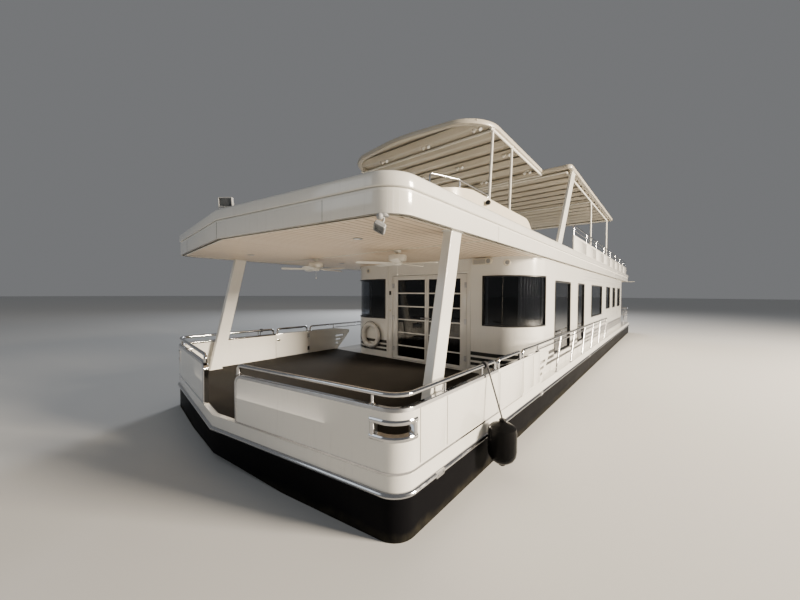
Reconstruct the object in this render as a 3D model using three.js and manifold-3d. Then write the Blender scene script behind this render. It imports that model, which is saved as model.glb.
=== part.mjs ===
// Lake houseboat, about 21 m long and 5.5 m wide, built as separate named pieces.
// Units are millimetres. +X is port, +Y is aft and +Z is up. The bow's tip is near Y = 0 while the
// pieces are being made, Z = 0 is the flat of the bottom, and the whole group is then moved so that
// the origin lies under the middle of the boat.

import * as THREE from 'three';
import { mergeVertices } from 'three/addons/utils/BufferGeometryUtils.js';
import Module from 'manifold-3d';

const wasm = await Module();
wasm.setup();

// Levels above the flat of the bottom.
const HULL_TOP = 955;
const DECK = 1150;
const BULWARK_TOP = DECK + 566;
const RAIL_Z = DECK + 680;
const CEILING = DECK + 2230;
const ROOF_TOP = DECK + 2590;
const COAMING_TOP = DECK + 3140;
const HARDTOP_LOW = DECK + 4530;

// Plan of the deck and of the roof: a shallow V at the front, rounded corners and straight sides.
const DECK_PLAN = { half: 2740, front: 20, slope: 0.15, corner: 230, aft: 20300 };
const ROOF_PLAN = { half: 2665, front: 90, slope: 0.13, corner: 300, aft: 20200 };
const COAMING_PLAN = { half: 1810, front: 1950, slope: 0.1, corner: 700, aft: 7000, tip: 3000 };
const HARDTOP_PLAN = { half: 1720, front: 3300, slope: 0.14, corner: 750, aft: 7000, tip: 3000 };
const UPPER_RAIL_PLAN = { half: 2590, front: 0, slope: 0, corner: 100, aft: 20120 };

// The bridge and its hardtop stand over the middle of the cabin.
const BRIDGE_X = 240;

// Thicknesses and running clearances.
const WALL = 70;
const BULWARK = 60;
const CAP = 8;
const CAP_LIP = 4;
const RUB = 30;
const SEAT_GAP = 0.3;
const DOOR_GAP = 8;

// Butt hinges: a barrel that lies against the fixed face, and a tab that carries the leaf.
const HINGE = { radius: 7.7, stand: 6.95, length: 110, tab: 44 };
const HULL_INSET = 10;

// The bow gap, the hawse holes and the boarding gates in the bulwark.
const BOW_GAP_HALF = 480;
const BOW_END_RADIUS = 100;
const HAWSE = { x0: 2460, x1: 2900, y1: 620, z0: DECK + 322, z1: DECK + 434 };
const GATE = { y0: 2400, y1: 3300 };
const SIDE_PANEL_AFT = 4150;
const WING_AFT = 4660;

// The cabin stands nearer the port side, and leaves a side deck to starboard.
const CABIN = { port: 2600, starboard: -2120, front: 4150, split: 5000, aft: 17800, corner: 750 };
const WINDOW = { z0: DECK + 940, z1: DECK + 1865 };
const CORNER_WINDOW = { port: 1690, starboard: -820, aft: 4930 };
const FRONT_DOOR = { x0: -580, x1: 1350, z0: DECK + 20, z1: DECK + 1940 };
const AFT_DOOR = { x0: 100, x1: 950, z0: DECK + 20, z1: DECK + 1940 };

// Stern.
const TRANSOM = DECK_PLAN.aft;
const DRIVE_X = 700;
const DRIVE_PIVOT_Y = 20430;
const PROP_Z = 330;

// The swim platform ends as far aft of the origin as the rub rail's tip lies ahead of it.
const CENTRE_Y = 10640;
const BOW_TIP = DECK_PLAN.front - RUB * Math.hypot(1, DECK_PLAN.slope);
const PLATFORM_AFT = 2 * CENTRE_Y - BOW_TIP;

const finish = (color, roughness, metalness) =>
  new THREE.MeshStandardMaterial({ color, roughness, metalness });
const MATERIAL = {
  gelcoat: finish(0xf2f0ea, 0.25, 0),
  blackHull: finish(0x141516, 0.4, 0),
  steel: finish(0xc8cacc, 0.2, 1),
  cream: finish(0xe6dcc6, 0.4, 0),
  glass: finish(0x0d1014, 0.05, 0),
  rubber: finish(0x2a2b2d, 0.6, 0),
  vinyl: finish(0xe9e6df, 0.5, 0),
  engine: finish(0x4a4d50, 0.6, 0.3),
  drive: finish(0x1c1d1f, 0.4, 0.2),
  ring: finish(0xf4f2ee, 0.5, 0),
};

Object.assign(MATERIAL.glass, { transparent: true, opacity: 0.5 });

const group = new THREE.Group();
group.position.set(0, -CENTRE_Y, 0);

// Turns a closed three.js geometry into a solid that can be joined and cut.
function solid(geometry) {
  const bare = geometry.clone();
  bare.deleteAttribute('normal');
  bare.deleteAttribute('uv');
  const merged = mergeVertices(bare, 1e-3);
  return new wasm.Manifold(new wasm.Mesh({
    numProp: 3,
    vertProperties: new Float32Array(merged.attributes.position.array),
    triVerts: new Uint32Array(merged.index.array),
  }));
}

function geometryOf(shape) {
  const data = shape.getMesh();
  const geometry = new THREE.BufferGeometry();
  geometry.setAttribute('position', new THREE.BufferAttribute(new Float32Array(data.vertProperties), 3));
  geometry.setIndex(new THREE.BufferAttribute(new Uint32Array(data.triVerts), 1));
  geometry.computeVertexNormals();
  return geometry;
}

function add(name, shape, material) {
  const mesh = new THREE.Mesh(geometryOf(shape), material);
  mesh.name = name;
  group.add(mesh);
  return shape;
}

const union = (shapes) => shapes.reduce((sum, shape) => sum.add(shape));

function box(x0, x1, y0, y1, z0, z1) {
  const geometry = new THREE.BoxGeometry(x1 - x0, y1 - y0, z1 - z0);
  geometry.translate((x0 + x1) / 2, (y0 + y1) / 2, (z0 + z1) / 2);
  return solid(geometry);
}

const shapeOf = (points) => new THREE.Shape(points.map(([a, b]) => new THREE.Vector2(a, b)));

// An outline in X and Y, standing from z0 to z1.
function prismZ(points, z0, z1) {
  const geometry = new THREE.ExtrudeGeometry(shapeOf(points), { depth: z1 - z0, bevelEnabled: false });
  geometry.translate(0, 0, z0);
  return solid(geometry);
}

// An outline in Y and Z, running from x0 to x1.
function prismX(points, x0, x1) {
  const geometry = new THREE.ExtrudeGeometry(shapeOf(points), { depth: x1 - x0, bevelEnabled: false });
  geometry.applyMatrix4(new THREE.Matrix4().set(0, 0, 1, x0, 1, 0, 0, 0, 0, 1, 0, 0, 0, 0, 0, 1));
  return solid(geometry);
}

// An outline in X and Z, running from y0 to y1.
function prismY(points, y0, y1) {
  const geometry = new THREE.ExtrudeGeometry(shapeOf(points), { depth: y1 - y0, bevelEnabled: false });
  geometry.rotateX(Math.PI / 2);
  geometry.translate(0, y1, 0);
  return solid(geometry);
}

// Points of an arc in degrees, both ends included.
function arc(cx, cy, radius, from, to, steps) {
  return Array.from({ length: steps + 1 }, (_, i) => {
    const angle = THREE.MathUtils.degToRad(from + ((to - from) * i) / steps);
    return [cx + radius * Math.cos(angle), cy + radius * Math.sin(angle)];
  });
}

// The plan outline, moved outwards by `off`, with the V of the front and its rounded corners. The V's tip
// is sharp, or an arc where the outline has a tip radius.
function plan({ half, front, slope, corner, aft, tip = 0 }, off, steps = 8) {
  const lean = Math.hypot(1, slope);
  const tilt = THREE.MathUtils.radToDeg(Math.atan(slope));
  const nose = tip > 0
    ? arc(0, front + tip * lean, tip + off, -90 - tilt, -90 + tilt, 4)
    : [[0, front - off * lean]];
  const cx = half - corner;
  const cy = front + slope * cx + corner * lean;
  const port = arc(cx, cy, corner + off, -90 + tilt, 0, steps);
  const starboard = port.map(([x, y]) => [-x, y]).reverse();
  return [...nose, ...port, [half + off, aft + off], [-half - off, aft + off], ...starboard];
}

// A closed wall between two offsets of a plan.
const planWall = (shape, outer, inner, z0, z1) =>
  prismZ(plan(shape, outer), z0, z1).subtract(prismZ(plan(shape, inner), z0 - 1, z1 + 1));

const planFrontY = ({ front, slope }, x, off) => front + slope * Math.abs(x) - off * Math.hypot(1, slope);

// A route whose samples fall exactly on its own points, so that straight runs cost nothing.
class Route extends THREE.Curve {
  constructor(points) {
    super();
    this.points = points;
  }

  getPoint(t, target = new THREE.Vector3()) {
    const last = this.points.length - 1;
    const i = Math.min(Math.round(t * last), last);
    return target.copy(this.points[i]);
  }

  getPointAt(t, target) {
    return this.getPoint(t, target);
  }

  getTangent(t, target = new THREE.Vector3()) {
    const last = this.points.length - 1;
    const i = Math.min(Math.round(t * last), last);
    const before = this.points[Math.max(i - 1, 0)];
    const after = this.points[Math.min(i + 1, last)];
    const here = this.points[i];
    const arrive = new THREE.Vector3().subVectors(here, before);
    const leave = new THREE.Vector3().subVectors(after, here);
    if (arrive.lengthSq() > 0) arrive.normalize();
    if (leave.lengthSq() > 0) leave.normalize();
    return target.addVectors(arrive, leave).normalize();
  }

  getTangentAt(t, target) {
    return this.getTangent(t, target);
  }
}

// Rounds the corners of a list of [x, y, z] points with a bend of the given radius.
function bent(corners, radius, steps = 3) {
  const points = corners.map((p) => new THREE.Vector3(...p));
  const out = [points[0]];
  for (let i = 1; i < points.length - 1; i += 1) {
    const toBefore = new THREE.Vector3().subVectors(points[i - 1], points[i]);
    const toAfter = new THREE.Vector3().subVectors(points[i + 1], points[i]);
    const turn = Math.PI - toBefore.angleTo(toAfter);
    if (turn < 0.05) {
      out.push(points[i]);
      continue;
    }
    const cut = Math.min(radius * Math.tan(turn / 2), toBefore.length() / 2.1, toAfter.length() / 2.1);
    const a = points[i].clone().addScaledVector(toBefore.normalize(), cut);
    const b = points[i].clone().addScaledVector(toAfter.normalize(), cut);
    const curve = new THREE.QuadraticBezierCurve3(a, points[i], b);
    out.push(...curve.getPoints(steps));
  }
  out.push(points[points.length - 1]);
  return out;
}

function circle(radius, sides) {
  return new THREE.Shape(Array.from({ length: sides }, (_, i) => {
    const angle = (2 * Math.PI * (i + 0.5)) / sides;
    return new THREE.Vector2(radius * Math.cos(angle), radius * Math.sin(angle));
  }));
}

// A round tube through [x, y, z] corners.
function tube(corners, radius, bend = 0, sides = 8) {
  const points = bend > 0 ? bent(corners, bend) : corners.map((p) => new THREE.Vector3(...p));
  const geometry = new THREE.ExtrudeGeometry(circle(radius, sides), {
    steps: points.length - 1,
    extrudePath: new Route(points),
    bevelEnabled: false,
  });
  return solid(geometry);
}

// A turned solid about a line parallel to Z, from [radius, z] pairs that start and end on the axis.
function turned(profile, x, y, sides = 12) {
  const geometry = new THREE.LatheGeometry(profile.map(([r, z]) => new THREE.Vector2(r, z)), sides);
  geometry.rotateX(Math.PI / 2);
  geometry.translate(x, y, 0);
  return solid(geometry);
}

const SIDES = [
  { side: 'port', sign: 1 },
  { side: 'starboard', sign: -1 },
];
const mirrored = (shape, sign) => (sign > 0 ? shape : shape.mirror([1, 0, 0]));

// Hull: the plan, the side profile with its raked bow, and the section with its chines, all in one.
function makeHull() {
  const bay = { half: 1500, y0: 18200, y1: 20050, floor: 210 };
  const profile = [
    [-200, HULL_TOP], [-200, 760], [120, 620], [1000, 170], [2500, 0],
    [19400, 0], [TRANSOM, 240], [TRANSOM, HULL_TOP],
  ];
  const chine = [
    [-2800, HULL_TOP], [-2800, 380], [-2560, 0], [2560, 0], [2800, 380], [2800, HULL_TOP],
  ];
  let hull = prismZ(plan(DECK_PLAN, -HULL_INSET), 0, HULL_TOP)
    .intersect(prismX(profile, -3000, 3000))
    .intersect(prismY(chine, -300, TRANSOM));
  hull = hull.subtract(box(-bay.half, bay.half, bay.y0, bay.y1, bay.floor, HULL_TOP + 50));
  for (const { sign } of SIDES) {
    const x = sign * DRIVE_X;
    const housing = box(x - 150, x + 150, TRANSOM - 15, 20375, 420, 800);
    const upperLug = box(x - 45, x + 45, TRANSOM - 15, 20460, 760 + SEAT_GAP, 800);
    const lowerLug = box(x - 45, x + 45, TRANSOM - 15, 20460, 440, 480 - SEAT_GAP);
    hull = hull.add(housing).add(upperLug).add(lowerLug);
    const block = box(x - 310, x + 310, 18700, 19700, bay.floor, 860);
    add(`engine_${sign > 0 ? 'port' : 'starboard'}`, block, MATERIAL.engine);
  }
  add('hull', hull, MATERIAL.blackHull);
}

const HATCH = { x0: -350, x1: 1150, y0: 18350, y1: 19850, thick: 45, ledge: 30 };

function makeDeck() {
  const { x0, x1, y0, y1, thick, ledge } = HATCH;
  const deck = prismZ(plan(DECK_PLAN, 0), HULL_TOP, DECK)
    .subtract(box(x0 + ledge, x1 - ledge, y0 + ledge, y1 - ledge, HULL_TOP - 50, DECK + 50))
    .subtract(box(x0 - DOOR_GAP, x1 + DOOR_GAP, y0 - DOOR_GAP, y1 + DOOR_GAP, DECK - thick, DECK + 50));
  add('main_deck', deck, MATERIAL.gelcoat);
  add('engine_hatch', box(x0, x1, y0, y1, DECK - thick + SEAT_GAP, DECK), MATERIAL.gelcoat);
  const rub = planWall(DECK_PLAN, RUB, SEAT_GAP, HULL_TOP + 5, HULL_TOP + 50);
  add('rub_rail', rub, MATERIAL.steel);
}

// What the bulwark keeps of its wall, seen from ahead: square but for the round end at the bow gap.
function bowMask(off, y1) {
  const r = BOW_END_RADIUS + off;
  const x0 = BOW_GAP_HALF - off;
  const top = BULWARK_TOP + off;
  const outline = [[x0, DECK], [3200, DECK], [3200, top], ...arc(x0 + r, top - r, r, 90, 180, 5)];
  return prismY(outline, -300, y1);
}

function makeBow() {
  const end = GATE.y0 - DOOR_GAP;
  const wall = planWall(DECK_PLAN, 0, -BULWARK, DECK, BULWARK_TOP).intersect(bowMask(0, end));
  const hawse = box(HAWSE.x0, HAWSE.x1, -300, HAWSE.y1, HAWSE.z0, HAWSE.z1);
  const panel = wall.subtract(hawse);
  const strip = planWall(DECK_PLAN, CAP_LIP, -BULWARK - CAP_LIP, DECK + 10, BULWARK_TOP + CAP)
    .intersect(bowMask(CAP, end))
    .subtract(bowMask(0, end + 1));
  const mid = -BULWARK / 2;
  const port = plan(DECK_PLAN, mid, 6).slice(1, 8);
  const start = BOW_GAP_HALF + 30;
  const first = [start, planFrontY(DECK_PLAN, start, mid)];
  const sideX = DECK_PLAN.half + mid;
  const lastY = GATE.y0 - 60;
  const foot = BULWARK_TOP + 3;
  const route = [
    [...first, foot], [...first, RAIL_Z],
    ...port.map(([x, y]) => [x, y, RAIL_Z]),
    [sideX, lastY, RAIL_Z], [sideX, lastY, foot],
  ];
  const posts = [
    [2430, planFrontY(DECK_PLAN, 2430, mid)],
    [sideX, 1150],
    [sideX, 1980],
  ].map(([x, y]) => box(x - 18, x + 18, y - 18, y + 18, foot, RAIL_Z));
  const rail = union([strip, tube(route, 25, 45), ...posts]);
  for (const { side, sign } of SIDES) {
    add(`bow_bulwark_${side}`, mirrored(panel, sign), MATERIAL.gelcoat);
    add(`bow_rail_${side}`, mirrored(rail, sign), MATERIAL.steel);
  }
}

function makeGates() {
  const x1 = DECK_PLAN.half;
  const x0 = x1 - BULWARK;
  const mid = (x0 + x1) / 2;
  const y0 = GATE.y0;
  const y1 = GATE.y1;
  const foot = BULWARK_TOP - 2;
  const hoop = tube([
    [mid, y0 + 45, foot], [mid, y0 + 45, RAIL_Z], [mid, y1 - 45, RAIL_Z], [mid, y1 - 45, foot],
  ], 25, 45);
  const levels = [DECK + 130, DECK + 450];
  const pins = hinges(x0 - HINGE.stand, y1 + DOOR_GAP / 2, levels, [x0 + 2, y1 - HINGE.tab]);
  const slab = box(x0, x1, y0, y1, DECK + 12, BULWARK_TOP);
  const trim = box(x0 - HINGE.stand + 1, x0, y1, y1 + 2, DECK, BULWARK_TOP);
  const gate = union([slab, hoop, ...pins]).subtract(trim);
  for (const { side, sign } of SIDES) {
    add(`side_gate_${side}`, mirrored(gate, sign), MATERIAL.gelcoat);
  }
}

// Aft of each gate: the last panel, and a wing with three slots that tapers up from the deck.
function makeSidePanels() {
  const x1 = DECK_PLAN.half;
  const x0 = x1 - BULWARK;
  const y0 = GATE.y1 + DOOR_GAP;
  const outline = [
    [y0, DECK], [4240, DECK], [WING_AFT, DECK + 420], [WING_AFT, DECK + 500],
    [SIDE_PANEL_AFT, BULWARK_TOP], [y0, BULWARK_TOP],
  ];
  let panel = prismX(outline, x0, x1);
  const slots = [
    { low: 130, length: 120 },
    { low: 230, length: 210 },
    { low: 330, length: 300 },
  ];
  for (const { low, length } of slots) {
    const y = SIDE_PANEL_AFT + 20;
    const z = DECK + low;
    const slot = [[y, z], [y + length, z + 10], [y + length, z + 55], [y, z + 45]];
    panel = panel.subtract(prismX(slot, x0 - 10, x1 + 10));
  }
  for (const { side, sign } of SIDES) {
    add(`side_panel_${side}`, mirrored(panel, sign), MATERIAL.gelcoat);
  }
}

// Rails along the side decks, on struts that lean aft. The starboard one runs the whole side deck.
const SIDE_RAILS = [
  { side: 'port', sign: 1, aft: 12100 },
  { side: 'starboard', sign: -1, aft: 17750 },
];
const STRUT = { pitch: 1250, first: 5290, lean: 350, radius: 16 };

function makeSideRails() {
  const mid = DECK_PLAN.half - BULWARK / 2;
  const lower = DECK + 590;
  const y0 = GATE.y1 + DOOR_GAP;
  const start = y0 + 50;
  for (const { side, sign, aft } of SIDE_RAILS) {
    const strip = box(mid - 34, mid + 34, y0, SIDE_PANEL_AFT, BULWARK_TOP, BULWARK_TOP + CAP);
    const handrail = [
      [mid, start, BULWARK_TOP + 3], [mid, start, RAIL_Z], [mid, aft, RAIL_Z], [mid, aft, DECK],
    ];
    const pieces = [
      strip,
      tube(handrail, 22, 60),
      box(mid - 18, mid + 18, SIDE_PANEL_AFT - 60, SIDE_PANEL_AFT - 24, BULWARK_TOP, RAIL_Z),
      tube([[mid, SIDE_PANEL_AFT - 50, lower], [mid, aft, lower]], 14),
    ];
    for (let y = STRUT.first; y + STRUT.lean < aft - 200; y += STRUT.pitch) {
      pieces.push(tube([[mid, y, DECK - 20], [mid, y + STRUT.lean, RAIL_Z]], STRUT.radius));
    }
    const rail = union(pieces).subtract(box(mid - 200, mid + 200, 4000, 20000, DECK - 200, DECK));
    add(`side_rail_${side}`, mirrored(rail, sign), MATERIAL.steel);
  }
}

// The two raked box columns that carry the front of the roof.
const COLUMN = { x0: 2510, x1: 2620, foot: 910, head: 1420, depth: 220 };

function makeColumns() {
  const { x0, x1, foot, head, depth } = COLUMN;
  const outline = [[foot, DECK], [foot + depth, DECK], [head + depth, CEILING], [head, CEILING]];
  const column = prismX(outline, x0, x1);
  for (const { side, sign } of SIDES) {
    add(`column_${side}`, mirrored(column, sign), MATERIAL.gelcoat);
  }
}

const STAIR = { x0: -1640, x1: -960, y0: 18350, y1: 19750, steps: 10 };

// Roof and upper deck: a lower and an upper fascia band with a groove between them.
function makeRoof() {
  const band = { split: CEILING + 210, groove: 12 };
  const lower = prismZ(plan(ROOF_PLAN, 0), CEILING, band.split);
  const groove = prismZ(plan(ROOF_PLAN, -16), band.split - 1, band.split + band.groove + 1);
  const upper = prismZ(plan(ROOF_PLAN, -5), band.split + band.groove, ROOF_TOP - 22);
  const lip = prismZ(plan(ROOF_PLAN, -22), ROOF_TOP - 23, ROOF_TOP);
  const hole = box(STAIR.x0 - 20, STAIR.x1 + 20, STAIR.y0, STAIR.y1, CEILING - 50, ROOF_TOP + 50);
  add('roof', union([lower, groove, upper, lip]).subtract(hole), MATERIAL.gelcoat);
}

// The cabin outline, moved outwards by `off`, with two large round corners at the front.
function cabinPlan(off) {
  const { port, starboard, front, aft, corner } = CABIN;
  const r = corner + off;
  return [
    ...arc(starboard + corner, front + corner, r, 180, 270, 8),
    ...arc(port - corner, front + corner, r, 270, 360, 8),
    [port + off, aft + off],
    [starboard - off, aft + off],
  ];
}

// Windows in the long sides, measured from the bow and from the deck, and how thick their panes are.
const PANE = 12;
const PORT_WINDOWS = [
  { y0: 5600, y1: 6950, z0: 300, z1: 1800 },
  { y0: 7800, y1: 8600, z0: 300, z1: 1800 },
  { y0: 9700, y1: 11700, z0: 850, z1: 1800 },
  { y0: 12700, y1: 13700, z0: 1000, z1: 1800 },
  { y0: 14500, y1: 15300, z0: 1000, z1: 1800 },
  { y0: 16100, y1: 17100, z0: 1000, z1: 1800 },
];
const STARBOARD_WINDOWS = [
  { y0: 5600, y1: 6950, z0: 850, z1: 1800 },
  { y0: 7800, y1: 9100, z0: 850, z1: 1800 },
  { y0: 10000, y1: 11400, z0: 850, z1: 1800 },
  { y0: 12700, y1: 13700, z0: 1000, z1: 1800 },
  { y0: 14500, y1: 15300, z0: 1000, z1: 1800 },
  { y0: 16100, y1: 17100, z0: 1000, z1: 1800 },
];

function makeCabin() {
  const { port, starboard, split, aft } = CABIN;
  const ring = prismZ(cabinPlan(0), DECK, CEILING)
    .subtract(prismZ(cabinPlan(-WALL), DECK - 10, CEILING + 10));
  const portWindow = box(CORNER_WINDOW.port, 3000, 4000, CORNER_WINDOW.aft, WINDOW.z0, WINDOW.z1);
  const starboardWindow = box(
    -3000, CORNER_WINDOW.starboard, 4000, CORNER_WINDOW.aft, WINDOW.z0, WINDOW.z1);
  const doorway = box(FRONT_DOOR.x0, FRONT_DOOR.x1, 4000, 4400, FRONT_DOOR.z0, FRONT_DOOR.z1);
  const front = ring.intersect(box(-3000, 3000, 4000, split, DECK, CEILING))
    .subtract(portWindow)
    .subtract(starboardWindow)
    .subtract(doorway);
  add('cabin_front', front, MATERIAL.gelcoat);

  const pane = prismZ(cabinPlan(-20), DECK, CEILING)
    .subtract(prismZ(cabinPlan(-32), DECK - 10, CEILING + 10));
  add('corner_glass_port', pane.intersect(portWindow), MATERIAL.glass);
  add('corner_glass_starboard', pane.intersect(starboardWindow), MATERIAL.glass);

  const sides = [
    { side: 'port', x0: port - WALL, glass0: port - WALL - PANE, windows: PORT_WINDOWS },
    { side: 'starboard', x0: starboard, glass0: starboard + WALL, windows: STARBOARD_WINDOWS },
  ];
  for (const { side, x0, glass0, windows } of sides) {
    const x1 = x0 + WALL;
    let wall = box(x0, x1, split, aft - WALL, DECK, CEILING);
    for (const { y0, y1, z0, z1 } of windows) {
      wall = wall.subtract(box(x0 - 10, x1 + 10, y0, y1, DECK + z0, DECK + z1));
    }
    add(`cabin_${side}`, wall, MATERIAL.gelcoat);
    const low = DECK + Math.min(...windows.map((w) => w.z0)) - 40;
    add(`side_glass_${side}`, box(glass0, glass0 + PANE, 5500, 17200, low, DECK + 1840), MATERIAL.glass);
  }

  const back = ring.intersect(box(-3000, 3000, aft - WALL, aft + 10, DECK, CEILING))
    .subtract(box(AFT_DOOR.x0, AFT_DOOR.x1, aft - 200, aft + 200, AFT_DOOR.z0, AFT_DOOR.z1));
  add('cabin_aft', back, MATERIAL.gelcoat);
}

// Barrels on an upright axis at (x, y), each with a tab that reaches to the leaf at `towards`.
function hinges(x, y, heights, towards) {
  const half = HINGE.length / 2;
  return heights.flatMap((z) => {
    const barrel = turned(
      [[0, z - half], [HINGE.radius, z - half], [HINGE.radius, z + half], [0, z + half]], x, y);
    const [x0, x1] = [Math.min(x, towards[0]), Math.max(x, towards[0])];
    const [y0, y1] = [Math.min(y, towards[1]), Math.max(y, towards[1])];
    return [barrel, box(x0, x1, y0, y1, z - half, z + half)];
  });
}

// A glazed door leaf between x0 and x1, with a stile on each side and the given bars across its pane.
function leaf({ x0, x1, y0, thick, z0, z1, stiles, foot, head, bars, bar }) {
  const pane = { x0: x0 + stiles[0], x1: x1 - stiles[1], z0: z0 + foot, z1: z1 - head };
  let frame = box(x0, x1, y0, y0 + thick, z0, z1)
    .subtract(box(pane.x0, pane.x1, y0 - 10, y0 + thick + 10, pane.z0, pane.z1));
  for (const z of bars) {
    frame = frame.add(box(pane.x0 - 5, pane.x1 + 5, y0 + 4, y0 + 16, z - bar / 2, z + bar / 2));
  }
  const glass = box(pane.x0, pane.x1, y0 + 16 + SEAT_GAP, y0 + 24, pane.z0, pane.z1);
  return { frame, glass };
}

const HINGE_HEIGHTS = [DECK + 250, DECK + 980, DECK + 1710];
const DOOR_BARS = [340, 640, 940, 1240, 1540].map((z) => DECK + z);

function makeDoors() {
  const middle = (FRONT_DOOR.x0 + FRONT_DOOR.x1) / 2;
  const common = {
    y0: CABIN.front + 6,
    thick: 45,
    z0: FRONT_DOOR.z0 + DOOR_GAP,
    z1: FRONT_DOOR.z1 - DOOR_GAP,
    foot: 60,
    head: 90,
    bars: DOOR_BARS,
    bar: 24,
  };
  const wide = 140;
  const narrow = 45;
  const leaves = [
    {
      side: 'port', x0: middle + DOOR_GAP / 2, x1: FRONT_DOOR.x1 - DOOR_GAP,
      stiles: [narrow, wide], pin: FRONT_DOOR.x1 - 4, tab: FRONT_DOOR.x1 - DOOR_GAP - HINGE.tab,
    },
    {
      side: 'starboard', x0: FRONT_DOOR.x0 + DOOR_GAP, x1: middle - DOOR_GAP / 2,
      stiles: [wide, narrow], pin: FRONT_DOOR.x0 + 4, tab: FRONT_DOOR.x0 + DOOR_GAP + HINGE.tab,
    },
  ];
  for (const { side, x0, x1, stiles, pin, tab } of leaves) {
    const { frame, glass } = leaf({ ...common, x0, x1, stiles });
    const pins = hinges(pin, CABIN.front - HINGE.stand, HINGE_HEIGHTS, [tab, common.y0 + 2]);
    add(`front_door_${side}`, union([frame, ...pins]), MATERIAL.gelcoat);
    add(`front_door_glass_${side}`, glass, MATERIAL.glass);
  }
  const { frame } = leaf({
    ...common,
    x0: AFT_DOOR.x0 + DOOR_GAP,
    x1: AFT_DOOR.x1 - DOOR_GAP,
    y0: CABIN.aft - WALL + 6,
    stiles: [110, 110],
    foot: 900,
    bars: [],
  });
  const inner = CABIN.aft - WALL;
  const tab = [AFT_DOOR.x0 + HINGE.tab, inner + 8];
  const pins = hinges(AFT_DOOR.x0 + 4, inner - HINGE.stand, HINGE_HEIGHTS, tab);
  add('aft_door', union([frame, ...pins]), MATERIAL.gelcoat);
}

const FAN = { x: 1070, y: 2360, blades: 5, reach: 660 };

function makeFans() {
  const body = [
    [0, CEILING], [60, CEILING], [55, CEILING - 45], [14, CEILING - 50], [14, CEILING - 80],
    [118, CEILING - 85], [122, CEILING - 100], [122, CEILING - 170], [110, CEILING - 185], [0, CEILING - 185],
  ].reverse();
  const low = CEILING - 185 - SEAT_GAP;
  const hub = [
    [0, low - 62], [55, low - 60], [70, low - 45], [60, low - 8], [18, low - 6], [18, low], [0, low],
  ];
  for (const { side, sign } of SIDES) {
    const x = sign * FAN.x;
    add(`fan_motor_${side}`, turned(body, x, FAN.y), MATERIAL.gelcoat);
    const blades = Array.from({ length: FAN.blades }, (_, i) => {
      const geometry = new THREE.BoxGeometry(FAN.reach - 40, 125, 8);
      geometry.translate(40 + (FAN.reach - 40) / 2, 0, 0);
      geometry.rotateX(THREE.MathUtils.degToRad(11));
      geometry.translate(0, 0, low - 30);
      geometry.rotateZ(((i + 0.25) * 2 * Math.PI) / FAN.blades);
      geometry.translate(x, FAN.y, 0);
      return solid(geometry);
    });
    add(`fan_blades_${side}`, union([turned(hub, x, FAN.y), ...blades]), MATERIAL.gelcoat);
  }
}

// Bridge coaming: a curved wall whose rim drops towards the front and rounds down to the roof at its end.
const COAMING = { wall: 90, lowRim: DECK + 2960, rise: [1800, 3000], aft: 5900 };

function makeCoaming() {
  const height = COAMING_TOP - ROOF_TOP;
  const profile = [
    ...arc(COAMING.aft - height, ROOF_TOP, height, 0, 90, 6),
    [COAMING.rise[1], COAMING_TOP], [COAMING.rise[0], COAMING.lowRim],
    [1000, COAMING.lowRim], [1000, ROOF_TOP],
  ];
  const coaming = planWall(COAMING_PLAN, 0, -COAMING.wall, ROOF_TOP, COAMING_TOP)
    .intersect(prismX(profile, -3000, 3000));
  add('bridge_coaming', coaming.translate([BRIDGE_X, 0, 0]), MATERIAL.gelcoat);
}

const HELM = { x0: 300, x1: 1300, y0: 3500, y1: 4150, top: ROOF_TOP + 860, wheelX: 850 };
const WHEEL = { y: 4260, z: ROOF_TOP + 700, tilt: 25, radius: 190, rim: 14 };
const SEAT_Y = 4720;

function makeHelm() {
  const console = prismX([
    [HELM.y0, ROOF_TOP], [HELM.y1, ROOF_TOP], [HELM.y1, ROOF_TOP + 520],
    [HELM.y1 - 110, HELM.top - 104], [HELM.y0 + 250, HELM.top], [HELM.y0 + 80, HELM.top],
  ], HELM.x0, HELM.x1);
  add('helm_console', console, MATERIAL.gelcoat);

  const rim = new THREE.TorusGeometry(WHEEL.radius, WHEEL.rim, 6, 20);
  const hub = new THREE.CylinderGeometry(38, 38, 40, 12);
  hub.rotateX(Math.PI / 2);
  const shaft = new THREE.CylinderGeometry(16, 16, 200, 10);
  shaft.rotateX(Math.PI / 2);
  shaft.translate(0, 0, -110);
  const spokes = [90, 210, 330].map((angle) => {
    const spoke = new THREE.BoxGeometry(WHEEL.radius - 10, 26, 8);
    spoke.translate((WHEEL.radius - 10) / 2 + 5, 0, 0);
    spoke.rotateZ(THREE.MathUtils.degToRad(angle));
    return spoke;
  });
  const wheel = union([rim, hub, shaft, ...spokes].map((geometry) => {
    geometry.rotateX(THREE.MathUtils.degToRad(WHEEL.tilt - 90));
    geometry.translate(HELM.wheelX, WHEEL.y, WHEEL.z);
    return solid(geometry);
  }));
  const face = console.add(console.translate([0, SEAT_GAP, SEAT_GAP]));
  add('steering_wheel', wheel.subtract(face), MATERIAL.rubber);

  const seat = union([
    box(500, 1200, SEAT_Y + 60, SEAT_Y + 480, ROOF_TOP, ROOF_TOP + 420),
    prismX([
      [SEAT_Y, ROOF_TOP + 420], [SEAT_Y + 560, ROOF_TOP + 420], [SEAT_Y + 640, ROOF_TOP + 1000],
      [SEAT_Y + 600, ROOF_TOP + 1000], [SEAT_Y + 530, ROOF_TOP + 470], [SEAT_Y, ROOF_TOP + 470],
    ], 450, 1250),
  ]);
  add('helm_seat', seat, MATERIAL.gelcoat);
  const low = ROOF_TOP + 470 + SEAT_GAP;
  const cushion = box(470, 1230, SEAT_Y + 10, SEAT_Y + 520, low, low + 90);
  add('helm_cushion', cushion, MATERIAL.vinyl);
}

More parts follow.
